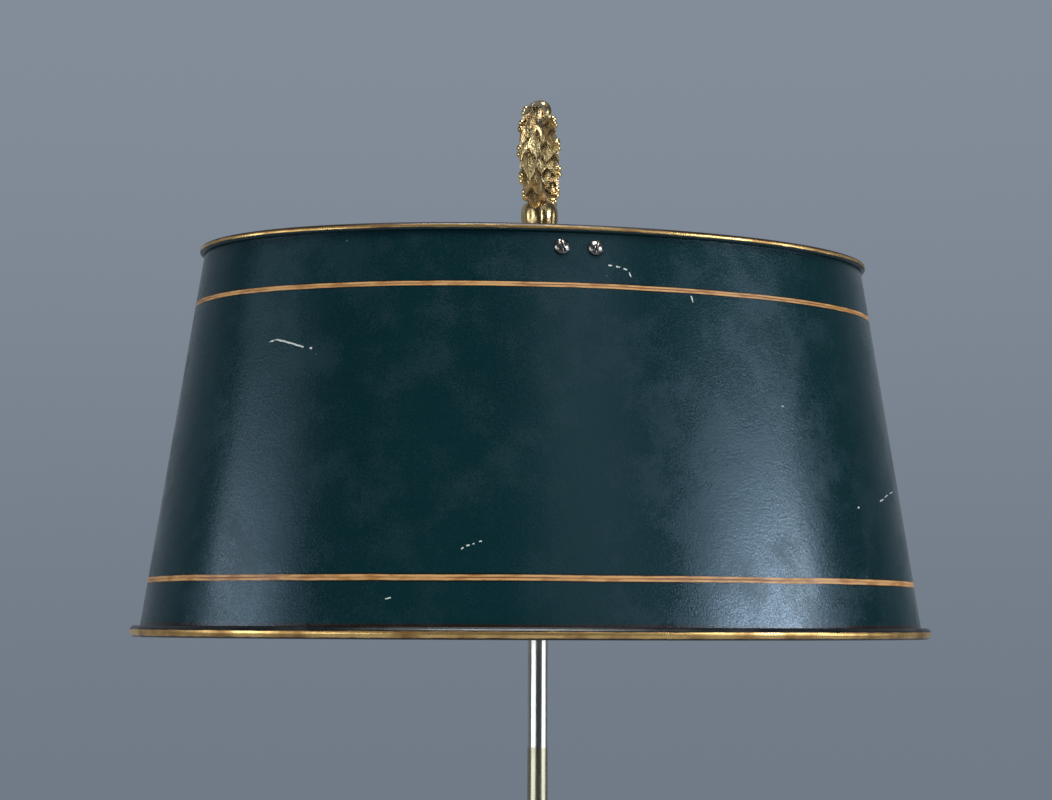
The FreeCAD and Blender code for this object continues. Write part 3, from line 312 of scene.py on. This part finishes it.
# The sheet's outline, once round: outer face, upper edge, inner face, lower edge.
outline = [
    (oval_low, 0, seat),
    (oval_high, 0, top),
    (oval_high, sheet_thickness, top),
    (oval_low, sheet_thickness, seat),
]
weld = 0.01 * MM
sheet = bmesh.new()
bmesh.ops.create_circle(sheet, segments=oval_steps, radius=1)
ring = sheet.edges[:]
for level in range(1, len(outline) + 1):
    made = bmesh.ops.extrude_edge_only(sheet, edges=ring)["geom"]
    raised = [item for item in made if isinstance(item, bmesh.types.BMVert)]
    bmesh.ops.translate(sheet, verts=raised, vec=(0, 0, 1))
    ring = [edge for edge in sheet.edges if all(abs(v.co.z - level) < 0.1 for v in edge.verts)]
for vertex in sheet.verts:
    half_axes, inset, height = outline[round(vertex.co.z) % len(outline)]
    vertex.co = (*on_oval(half_axes, inset, atan2(vertex.co.y, vertex.co.x)), height)
bmesh.ops.remove_doubles(sheet, verts=sheet.verts[:], dist=weld)
bmesh.ops.recalc_face_normals(sheet, faces=sheet.faces[:])
for face in sheet.faces:
    middle = face.calc_center_median()
    face.material_index = 1 if Vector((*middle.xy, 0)).dot(face.normal) < 0 else 0
both_paints = (shade_outside, shade_inside)
shade_mesh = as_mesh(sheet, "shade_sheet")
shade_piece = add_piece("shade_sheet", shade_mesh, "shade_group", "shade_paint", *both_paints)

# Rolled edges of the shade
# The sheet is rolled over a wire at both edges. Each roll carries a gilt band round it, with dark or
# browned paint left under it and over it; the black over the lower roll's band is painted shade
# where the roll meets the sheet.

bottom_bead = 2.8 * MM
top_bead = 1.8 * MM
bead_bite = 0.25 * MM
gold_light = (0.93, 0.58, 0.21)
gold_dark = (0.30, 0.15, 0.045)


def roll_edge(name, half_axes, radius, height, material):
    """A round bar along an oval that lies just outside the sheet."""
    out = radius - sheet_thickness - bead_bite
    curve = bpy.data.curves.new(name, "CURVE")
    curve.dimensions = "3D"
    curve.bevel_depth = radius
    curve.bevel_resolution = 5
    curve.resolution_u = 1
    spline = curve.splines.new("POLY")
    spline.points.add(oval_steps - 1)
    for k, point in enumerate(spline.points):
        point.co = (*on_oval(half_axes, -out, 2 * pi * k / oval_steps), height, 1)
    spline.use_cyclic_u = True
    holder = bpy.data.objects.new(name + "_line", curve)
    scene.collection.objects.link(holder)
    bpy.context.view_layer.update()
    mesh = bpy.data.meshes.new_from_object(holder)
    bpy.data.objects.remove(holder)
    mesh.shade_smooth()
    return add_piece(name, mesh, "shade_group", "shade_paint", material)


def gilt_roll(height, low, high, under, over):
    """A gilt band between two heights of a roll, with one colour under it and one over it."""
    blur = 0.15

    def paint(tools):
        z = tools.axes()[2]
        ragged = (tools.noise(150, detail=4) - 0.5) * ragged_edge
        above = z - height + ragged
        gilt_from = above.soft((low - blur) * MM, (low + blur) * MM)
        painted_from = above.soft((high - blur) * MM, (high + blur) * MM)
        worn = tools.noise(60, detail=5).soft(0.38, 0.70)
        marks = tools.noise(500, detail=4)
        colour = (worn * 0.85 + marks * 0.15).mix(gold_light, gold_dark)
        colour = gilt_from.mix(under, colour)
        colour = painted_from.mix(colour, over)
        gilt = gilt_from * (1 - painted_from)
        return {
            "Base Color": colour,
            "Metallic": gilt * 0.85,
            "Roughness": 0.25 + worn * 0.18,
            "Normal": tools.bump(marks, 0.07 * MM),
        }

    return paint


top_gilt = finish("gilt_top_roll", gilt_roll(top, -0.6, 0.55, paint_dark, edge_brown))
# On the lower roll the black over the gilt is painted shade in the crease where the roll meets the
# sheet.
bottom_gilt = finish("gilt_bottom_roll", gilt_roll(seat, -1.9, 0.75, edge_brown, edge_black))
top_roll = roll_edge("shade_top_roll", oval_high, top_bead, top, top_gilt)
bottom_roll = roll_edge("shade_bottom_roll", oval_low, bottom_bead, seat, bottom_gilt)
for piece in (shade_piece, top_roll, bottom_roll):
    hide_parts("shade")

# Screws, crossbar and bearing that carry the shade
# Four slotted round-head steel screws hold a flat brass bar across the shade; a turned brass
# bearing and its nut clamp the bar's middle and run on the rod.

same_point = 0.002 * MM
steel_bright = (0.66, 0.64, 0.60)
steel_dull = (0.30, 0.27, 0.22)
brass_bright = (0.62, 0.43, 0.17)
brass_dull = (0.26, 0.15, 0.06)
screw_bright = (0.50, 0.47, 0.44)
screw_dull = (0.16, 0.13, 0.11)
slot_shade = (0.010, 0.008, 0.007)


def smooth_copy(node, body, slot, material, sharp=radians(32)):
    """A CAD node again, its loose triangles joined so that round faces shade smoothly."""
    bm = bmesh.new()
    bm.from_mesh(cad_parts[node].data)
    bmesh.ops.remove_doubles(bm, verts=bm.verts[:], dist=same_point)
    mesh = as_mesh(bm, node + "_smooth", sharp)
    mesh.materials.clear()
    piece = add_piece(node + "_smooth", mesh, body, slot, material)
    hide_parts(node)
    return piece


def metal(light, dark, rough, grain=(1, 1, 1)):
    """Paints bare metal: tarnish in patches, fine marks along the grain."""

    def paint(tools):
        tarnish = tools.noise(30, detail=5).soft(0.38, 0.72)
        marks = tools.noise(350, detail=4, stretch=grain)
        return {
            "Base Color": (tarnish * 0.7 + marks * 0.15).mix(light, dark),
            "Metallic": 1.0,
            "Roughness": rough + tarnish * 0.14 + marks * 0.1,
            "Normal": tools.bump(marks, 0.04 * MM),
        }

    return paint


bright_steel = finish("bright_steel", metal(steel_bright, steel_dull, 0.22))
plain_brass = finish("plain_brass", metal(brass_bright, brass_dull, 0.28, (1, 1, 8)))
# The slots are painted dark as shade in their recesses. They lie near these places, on a sheet with
# this lean.
screw_x = 7.8 * MM
screw_y = 93.14 * MM
screw_z = top - 8.8 * MM
slot_floor = 1.62 * MM
slot_reach = 2.9 * MM
lean = atan2(oval_low.y - oval_high.y, top - seat)


def paint_screws(tools):
    x, y, z = tools.axes()
    across = abs(x) - screw_x
    up = z - screw_z
    above_sheet = (abs(y) - screw_y) * cos(lean) + up * sin(lean)
    in_slot = (above_sheet < slot_floor) * (across * across + up * up < slot_reach**2)
    tarnish = tools.noise(300, detail=4).soft(0.35, 0.7)
    return {
        # Painted shade: the slots take a near-black, non-metallic colour.
        "Base Color": in_slot.mix(tarnish.mix(screw_bright, screw_dull), slot_shade),
        "Metallic": 1 - in_slot,
        "Roughness": 0.17 + tarnish * 0.12 + in_slot * 0.5,
        "Normal": tools.bump(tools.noise(900), 0.02 * MM),
    }


smooth_copy("shade_screws", "shade_group", "screw_steel", finish("dull_screws", paint_screws))
for node in ("shade_nuts", "crossbar"):
    smooth_copy(node, "shade_group", "brass", plain_brass)
for node in ("shade_bearing", "bearing_nut", "clamp_collar"):
    smooth_copy(node, "carrier", "brass", plain_brass)
smooth_copy("thumb_screw", "thumb", "brass", plain_brass)

# Rod
# A nickel-plated steel tube. Some way under the shade its colour turns a warmer, olive grey below a
# ragged line: a painted reflection.

tone_change = seat - 55.6 * MM
rod_plating = (0.60, 0.59, 0.56)
warm_reflection = (0.42, 0.38, 0.27)
rod_rubbed = (0.20, 0.18, 0.14)
tone_edge = 1.5 * MM


def paint_rod(tools):
    z = tools.axes()[2]
    ragged = tools.noise(300) * tone_edge
    low = (tone_change - z + ragged).soft(-tone_edge / 3, tone_edge * 2 / 3)
    rubbed = tools.noise(120, detail=5, stretch=(1, 1, 0.2)).soft(0.4, 0.75)
    # Below the line the warmer colour is a painted reflection.
    colour = low.mix(rod_plating, warm_reflection)
    colour = (rubbed * 0.45).mix(colour, rod_rubbed)
    marks = tools.noise(900, detail=3, stretch=(1, 1, 0.05))
    return {
        "Base Color": colour,
        "Metallic": 1.0,
        "Roughness": 0.19 + rubbed * 0.15 + low * 0.06,
        "Normal": tools.bump(marks, 0.02 * MM),
    }


smooth_copy("rod", "stand", "steel", finish("nickel_rod", paint_rod))
for node in ("rod_washer", "rod_nut", "grub_screw"):
    smooth_copy(node, "stand", "screw_steel", bright_steel)

# Handle socket
# A gilt bronze socket turned like a baluster. It fits on the rod's upper end and carries the
# wreath's cup on its flat top.

gilt_high = (1.0, 0.74, 0.36)
gilt_low = (0.070, 0.032, 0.010)


def paint_gilt(tools):
    """Cast and gilt bronze: bright where it is rubbed, brown where it is not."""
    worn = tools.noise(45, detail=6, roughness=0.6).soft(0.36, 0.70)
    cast = tools.noise(380, detail=5)
    return {
        "Base Color": (worn * 0.75 + cast * 0.12).mix(gilt_high, gilt_low),
        "Metallic": 1.0,
        "Roughness": 0.15 + worn * 0.16,
        "Normal": tools.bump(cast, 0.10 * MM),
    }


cast_gilt = finish("cast_gilt", paint_gilt)
smooth_copy("handle_socket", "stand", "gilt", cast_gilt)

# Wreath handle
# A cast and gilt ring of laurel that stands nearly across the shade: whorls of overlapping
# leaves run from a bound knot at the top down both sides, with berries, into a lobed cup.

cup_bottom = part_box("handle_socket")[1].z
cup_height = 11 * MM
wreath_radius = 29.5 * MM
wreath_sink = 5 * MM
wreath_leaf = 6.2 * MM
wreath_core = 4.0 * MM
wreath_turn = radians(-22.6)
wreath_line = wreath_radius - wreath_leaf
wreath_middle = cup_bottom + cup_height - wreath_sink + wreath_radius
leaf_length = 16.5 * MM
leaf_half_width = 5.2 * MM
leaf_thickness = 0.7 * MM
leaf_root_sink = 0.5 * MM
leaf_tip_lift = 1.9 * MM
leaf_bulge = 0.95 * MM
leaf_rib = 0.45 * MM
leaf_rows = 8
leaves_round = 4
first_row = radians(3)
row_step = radians(20.5)
# Degrees down each side of the ring where three berries sit, and each berry's own steps along
# the ring and round it.
berry_turns = (30, 62, 94, 126, 152)
berry_steps = ((-4, -13), (-3, 13), (4, 0))
berry_around = 82
berry_radius = 1.8 * MM
berry_rise = 0.9 * MM
knot_reach = Vector((5.6, 4.6, 6.0)) * MM
knot_ridge = 0.06


def on_ring(turn, around, out, side):
    """A point of the ring: turn from the top along one side, around the ring's own line."""
    reach = wreath_line + out * cos(around)
    return Vector((out * sin(around), side * reach * sin(turn), reach * cos(turn)))


def lay_leaf(bm, start, around, side):
    """One leaf: a small grid wrapped on the ring, ribbed along its middle, its tip lifted."""
    grid = bmesh.ops.create_grid(bm, x_segments=10, y_segments=14, size=0.5, calc_uvs=True)
    for vertex in grid["verts"]:
        across, along = vertex.co.x * 2, vertex.co.y + 0.5
        half_width = leaf_half_width * (0.16 + 0.95 * sin(pi * along**0.8) ** 0.75) * (1 - along**6)
        lift = leaf_tip_lift * along**1.4 - leaf_root_sink
        bulge = leaf_bulge * (1 - across * across) * sin(pi * along**0.7)
        rib = leaf_rib * max(0, 1 - abs(across) * 4) * (1 - along)
        out = wreath_core + lift + bulge + rib
        turn = start + along * leaf_length / wreath_line
        vertex.co = on_ring(turn, around + across * half_width / out, out, side)


def paint_leaf(tools):
    uv = tools.node("ShaderNodeUVMap", uv_map="UVMap")
    split = tools.node("ShaderNodeSeparateXYZ", {0: uv})
    u, v = [Socket(tools.tree, output) for output in split.socket.node.outputs][:2]
    off = abs(u - 0.5)
    veins = ((v - off * 1.3) * 62).sine() * 0.5 + 0.5
    # Painted shade: each leaf darkens towards its base, tucked under the leaf before, towards its
    # edges and in the grooves between its veins.
    rim = off.soft(0.34, 0.5)
    shade_under_leaf = (1 - v).soft(0.30, 0.85)
    worn = tools.noise(110, detail=6, roughness=0.6).soft(0.35, 0.7)
    shade = worn * 0.25 + rim * 0.50 + shade_under_leaf * 0.75 + (1 - veins) * 0.30
    colour = shade.mix(gilt_high, gilt_low)
    relief = veins * 0.6 + off.soft(0.0, 0.06) * -0.8 + tools.noise(900, detail=3) * 0.3
    return {
        "Base Color": colour,
        "Metallic": 1.0,
        "Roughness": 0.07 + worn * 0.12,
        "Normal": tools.bump(relief, 0.55 * MM),
    }


leaves = bmesh.new()
leaves.loops.layers.uv.new("UVMap")
for side in (-1, 1):
    for row in range(leaf_rows):
        for leaf in range(leaves_round):
            around = 2 * pi / leaves_round * (leaf + 0.5 * (row % 2))
            lay_leaf(leaves, first_row + row * row_step, around, side)
stand_wreath = Matrix.Translation((0, 0, wreath_middle)) @ Matrix.Rotation(wreath_turn, 4, "Z")
bmesh.ops.transform(leaves, matrix=stand_wreath, verts=leaves.verts[:])
for face in leaves.faces:
    face.smooth = True
    out = face.calc_center_median() - Vector((0, 0, wreath_middle))
    flat = stand_wreath.to_3x3() @ Vector((0, 1, 0))
    line = Vector((flat.x * out.dot(flat), flat.y * out.dot(flat), out.z)).normalized() * wreath_line
    if face.normal.dot(out - line) < 0:
        face.normal_flip()
gilt_leaves = finish("gilt_leaves", paint_leaf)
leaf_mesh = as_mesh(leaves, "wreath_leaves", radians(60))
leaf_piece = add_piece("wreath_leaves", leaf_mesh, "stand", "gilt", gilt_leaves)
thick = leaf_piece.modifiers.new("cast_thickness", "SOLIDIFY")
thick.thickness = leaf_thickness
thick.offset = -1

core = bmesh.new()
bmesh.ops.create_circle(core, segments=20, radius=wreath_core)
bmesh.ops.rotate(core, verts=core.verts[:], cent=(0, 0, 0), matrix=Matrix.Rotation(pi / 2, 3, "X"))
bmesh.ops.rotate(core, verts=core.verts[:], cent=(0, 0, 0), matrix=Matrix.Rotation(pi / 2, 3, "Z"))
bmesh.ops.translate(core, verts=core.verts[:], vec=(0, 0, wreath_line))
section = core.verts[:] + core.edges[:]
once_round = {"cent": (0, 0, 0), "angle": 2 * pi, "use_merge": True}
bmesh.ops.spin(core, geom=section, axis=(1, 0, 0), steps=72, **once_round)
knot = bmesh.ops.create_uvsphere(core, u_segments=24, v_segments=16, radius=1)["verts"]
for vertex in knot:
    ridge = 1 + knot_ridge * cos(vertex.co.y * 14)
    out_x, out_y, out_z = vertex.co * knot_reach
    vertex.co = (out_x * ridge, out_y, out_z * ridge + wreath_line)
for side in (-1, 1):
    for turn in berry_turns:
        for ahead, aside in berry_steps:
            around = radians(side * berry_around + aside)
            place = on_ring(radians(turn + ahead), around, wreath_core + berry_rise, side)
            berry = Matrix.Translation(place)
            bmesh.ops.create_icosphere(core, subdivisions=3, radius=berry_radius, matrix=berry)

# Half of the cup's outline, in millimetres from the lamp's axis and over the cup's foot.
cup_line = [(0, 0), (8.4, 0), (9.0, 2), (9.3, 4), (9.4, 6)]
cup_line += [(9.3, 8), (8.9, 10), (8.1, 11.6), (6.6, 12.4), (0, 12.4)]
half_lobes = 5
lobe_depth = 0.085
cup = bmesh.new()
ends = [cup.verts.new((r * MM, 0, cup_bottom + up * MM)) for r, up in cup_line]
line = ends + [cup.edges.new(pair) for pair in zip(ends, ends[1:])]
bmesh.ops.spin(cup, geom=line, axis=(0, 0, 1), steps=96, **once_round)
bmesh.ops.remove_doubles(cup, verts=cup.verts[:], dist=weld)
for vertex in cup.verts:
    turn = atan2(vertex.co.y, vertex.co.x)
    up = (vertex.co.z - cup_bottom) / cup_height
    between = 1 - abs(cos(half_lobes * turn)) ** 0.5
    lobe = 1 - lobe_depth * between * sin(pi * min(1, 0.15 + up))
    vertex.co.x *= lobe
    vertex.co.y *= lobe
bmesh.ops.recalc_face_normals(cup, faces=cup.faces[:])
cup_mesh = as_mesh(cup, "wreath_cup", radians(50))
cup_piece = add_piece("wreath_cup", cup_mesh, "stand", "gilt", cast_gilt)
bmesh.ops.recalc_face_normals(core, faces=core.faces[:])
bmesh.ops.transform(core, matrix=stand_wreath, verts=core.verts[:])
core_piece = add_piece("wreath_core", as_mesh(core, "wreath_core"), "stand", "gilt", cast_gilt)
for piece in (leaf_piece, core_piece, cup_piece):
    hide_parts("wreath")

# Base dish, stem, hub, lid and lock ring
# Cast and gilt bronze sections stacked round the rod: the dish, a foot moulding, a fluted
# shaft, a capital and the hub that holds the arms, all held down by the lock ring.

for node in ("base_dish", "stem_foot", "fluted_shaft", "capital", "hub", "hub_lid", "lock_ring"):
    smooth_copy(node, "stand", "gilt", cast_gilt)

# Arms with drip pans and candle cups
# Each gilt arm dips and rises from the hub, with a volute under its lowest point. It carries a
# cast pan and cup, held by brass nuts and a threaded brass nipple.

for side in ("right", "left"):
    for node in ("arm_", "drip_pan_", "candle_cup_"):
        smooth_copy(node + side, "stand", "gilt", cast_gilt)
    for node in ("arm_nut_", "nipple_", "cup_nut_", "holder_shell_", "holder_contact_"):
        smooth_copy(node + side, "stand", "brass", plain_brass)

# Pearl strings
# Rows of small cast pearls, gilt with the rest, lie on the base's rim and round the foot of the
# fluted shaft.

rim_height = 24 * MM
rim_row_radius = 82.0 * MM
rim_pearl = 1.5 * MM
shaft_row_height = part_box("fluted_shaft")[0].z + 5.0 * MM
shaft_row_radius = 12.7 * MM
shaft_pearl = 1.3 * MM


def pearl_row(bm, row_radius, height, count, pearl):
    for k in range(count):
        turn = 2 * pi * k / count
        place = Matrix.Translation((row_radius * cos(turn), row_radius * sin(turn), height))
        bmesh.ops.create_uvsphere(bm, u_segments=10, v_segments=6, radius=pearl, matrix=place)


pearls = bmesh.new()
pearl_row(pearls, rim_row_radius, rim_height, 120, rim_pearl)
pearl_row(pearls, shaft_row_radius, shaft_row_height, 24, shaft_pearl)
add_piece("pearl_strings", as_mesh(pearls, "pearl_strings"), "stand", "gilt", cast_gilt)

# Switch and cord bush
# A black moulded rotary switch in the hub, held by a brass nut, with a small gilt knob. The
# bush that a mains cord would pass through, at the back of the base, is moulded too.

moulded_black = (0.020, 0.016, 0.013)
moulded_faded = (0.045, 0.035, 0.026)


def moulded(tools):
    grain = tools.noise(600, detail=3)
    cloud = tools.noise(40).soft(0.4, 0.7)
    return {
        "Base Color": cloud.mix(moulded_black, moulded_faded),
        "Roughness": 0.36 + grain * 0.12,
        "Normal": tools.bump(grain, 0.03 * MM),
    }


black_moulded = finish("black_moulded", moulded)
smooth_copy("switch_case", "stand", "bakelite", black_moulded)
smooth_copy("cord_bush", "stand", "bakelite", black_moulded)
smooth_copy("switch_nut", "stand", "brass", plain_brass)
smooth_copy("switch_knob", "knob", "gilt", cast_gilt)

# Candles: sleeves, lamp holders and bulbs
# Ivory-coloured tubes slip over black lamp holders; each takes a clear candle bulb with a
# nickel-plated screw cap and long yellow filament rods.

ivory_light = (0.80, 0.72, 0.55)
ivory_dark = (0.70, 0.60, 0.42)
nickel_bright = (0.70, 0.69, 0.67)
nickel_dull = (0.40, 0.38, 0.34)
filament_light = (0.85, 0.55, 0.14)
filament_dark = (0.65, 0.38, 0.08)


def ivory(tools):
    cloud = tools.noise(22, detail=4).soft(0.35, 0.7)
    drips = tools.noise(60, detail=3, stretch=(1, 1, 0.15))
    return {
        "Base Color": cloud.mix(ivory_light, ivory_dark),
        "Roughness": 0.42 + drips * 0.1,
        "Normal": tools.bump(drips, 0.25 * MM),
    }


def clear_glass(tools):
    return {
        "Base Color": (0.97, 0.97, 0.95),
        "Roughness": 0.02 + tools.noise(40) * 0.02,
        "Transmission Weight": 1.0,
        "IOR": 1.45,
    }


def filament_yellow(tools):
    return {"Base Color": tools.noise(800).mix(filament_light, filament_dark), "Roughness": 0.6}


ivory_tube = finish("ivory_tube", ivory)
bulb_clear = finish("bulb_clear", clear_glass)
cap_nickel = finish("cap_nickel", metal(nickel_bright, nickel_dull, 0.2))
filament_coat = finish("filament_coat", filament_yellow)
for side in ("right", "left"):
    smooth_copy("candle_sleeve_" + side, "stand", "candle", ivory_tube)
    smooth_copy("lamp_holder_" + side, "stand", "bakelite", black_moulded)
    smooth_copy("bulb_cap_" + side, "stand", "cap_nickel", cap_nickel)
    smooth_copy("bulb_glass_" + side, "stand", "bulb_glass", bulb_clear, radians(50))
    smooth_copy("bulb_stem_" + side, "stand", "stem_glass", bulb_clear)
    smooth_copy("filament_" + side, "stand", "filament", filament_coat)

# Underside: felt, cover plate and ballast
# A cast iron weight fills the base dish. A blackened steel plate closes it from below, and
# green felt is glued under the plate.

felt_dark = (0.020, 0.050, 0.028)
felt_light = (0.045, 0.085, 0.050)
iron_dark = (0.030, 0.028, 0.026)
iron_rusty = (0.075, 0.060, 0.050)


def felt(tools):
    fibre = tools.noise(1400, detail=4)
    cloud = tools.noise(60).soft(0.4, 0.7)
    return {
        "Base Color": (cloud * 0.6 + fibre * 0.4).mix(felt_dark, felt_light),
        "Roughness": 0.95,
        "Normal": tools.bump(fibre, 0.2 * MM),
    }


def raw_iron(tools):
    sand = tools.noise(500, detail=6)
    return {
        "Base Color": sand.mix(iron_dark, iron_rusty),
        "Metallic": 0.6,
        "Roughness": 0.6,
        "Normal": tools.bump(sand, 0.3 * MM),
    }


smooth_copy("felt_pad", "stand", "felt", finish("green_felt", felt))
smooth_copy("cover_plate", "stand", "cover_steel", finish("black_plate", moulded))
smooth_copy("ballast", "stand", "iron", finish("raw_iron", raw_iron))

# Floor and room
# A plain pale floor that fades out before its edge into a plain grey-blue room. The room gives
# more light from behind the lamp than from the front.

room_high = (0.227, 0.266, 0.319)
room_low = (0.165, 0.198, 0.242)
given_front = (0.050, 0.056, 0.064)
given_behind = (0.24, 0.27, 0.31)
floor_colour = (0.40, 0.43, 0.48)
floor_radius = 1.5
fade_from = 0.55 * floor_radius
fade_to = 0.98 * floor_radius


def set_floor(tree):
    tools = Tools(tree)
    x, y = tools.axes()[:2]
    far = (x * x + y * y).root().soft(fade_from, fade_to)
    ground = tools.node("ShaderNodeBsdfDiffuse", {"Color": floor_colour})
    clear = tools.node("ShaderNodeBsdfTransparent")
    both = tools.node("ShaderNodeMixShader", {0: far, 1: ground, 2: clear})
    tools.plug(tree.nodes["Material Output"].inputs["Surface"], both)


ground = bmesh.new()
bmesh.ops.create_circle(ground, cap_ends=True, segments=96, radius=floor_radius)
floor = bpy.data.objects.new("floor", as_mesh(ground, "floor"))
floor_finish = bpy.data.materials.new("floor")
floor_finish.use_nodes = True
set_floor(floor_finish.node_tree)
floor.data.materials.append(floor_finish)
scene.collection.objects.link(floor)

world = bpy.data.worlds.new("room")
scene.world = world
world.use_nodes = True
room = Tools(world.node_tree)
path = room.node("ShaderNodeLightPath").socket.node.outputs
seen = Socket(room.tree, path["Is Camera Ray"])
through = Socket(room.tree, path["Is Transmission Ray"])
ways = room.node("ShaderNodeSeparateXYZ", {0: room.node("ShaderNodeTexCoord")}).socket.node.outputs
behind = Socket(room.tree, ways["Y"]).soft(0.0, 0.7)
upward = Socket(room.tree, ways["Z"]).soft(-0.10, 0.30)
colour_seen = upward.mix(room_low, room_high)
light_seen = room.node("ShaderNodeBackground", {"Color": colour_seen, "Strength": 1.0})
colour_given = behind.mix(given_front, given_behind)
light_given = room.node("ShaderNodeBackground", {"Color": colour_given, "Strength": 1.0})
mixed = room.node("ShaderNodeMixShader", {0: seen.either(through), 1: light_given, 2: light_seen})
room.plug(world.node_tree.nodes["World Output"].inputs["Surface"], mixed)

# Lamps
# Cool soft boxes stand left and right like windows, each with a dimmer one over it. Two low
# ones light the rod from both sides, a dim one faces the shade, and a white one hangs above.


def soft_box(name, place, target, width, height, power, colour=(1, 1, 1)):
    lamp = bpy.data.lights.new(name, "AREA")
    lamp.shape = "RECTANGLE"
    lamp.size = width
    lamp.size_y = height
    lamp.energy = power
    lamp.color = colour
    holder = bpy.data.objects.new(name, lamp)
    holder.location = place
    aim = Vector(target) - Vector(place)
    holder.rotation_euler = aim.to_track_quat("-Z", "Y").to_euler()
    scene.collection.objects.link(holder)


middle = (0, 0, 0.55)
low_middle = (0, 0, 0.3)
cool_white = (0.84, 0.93, 1.0)
soft_box("left_window", (-1.91, -0.58, 0.84), middle, 1.07, 0.44, 7, cool_white)
soft_box("left_window_top", (-1.91, -0.58, 1.26), middle, 1.07, 0.38, 0.8, cool_white)
soft_box("right_window", (1.55, -1.26, 0.96), middle, 1.0, 0.28, 16, cool_white)
soft_box("right_window_top", (1.55, -1.26, 1.32), middle, 1.1, 0.36, 1.2, cool_white)
soft_box("low_left", (-1.73, -1.0, 0.28), low_middle, 1.9, 0.5, 9, cool_white)
soft_box("low_right", (1.73, -1.0, 0.28), low_middle, 1.9, 0.5, 9, cool_white)
soft_box("front_panel", (0.49, -1.94, 1.52), middle, 0.75, 0.85, 1.2, cool_white)
soft_box("top_light", (0, -0.7, 2.3), middle, 1.0, 1.0, 34)

# Camera
# It stands a metre in front, level with the shade's lower edge and left of the lamp, turned
# back towards it and looking up slightly. Its focal length is in pixels of the picture.

eye = Vector((-191.0, -981.6, 459.8)) * MM
look_turn = radians(-10.65)
pitch = radians(6.22)
roll = radians(0.25)
picture_width = 1052
focal_px = 2040
camera_data = bpy.data.cameras.new("camera")
camera_data.sensor_width = 36
camera_data.lens = focal_px / picture_width * camera_data.sensor_width
camera = bpy.data.objects.new("camera", camera_data)
scene.collection.objects.link(camera)
raised_look = Matrix.Rotation(pi / 2 + pitch, 4, "X") @ Matrix.Rotation(roll, 4, "Z")
camera.matrix_world = Matrix.Translation(eye) @ Matrix.Rotation(look_turn, 4, "Z") @ raised_look
scene.camera = camera
scene.view_settings.view_transform = "Standard"

bpy.context.view_layer.update()
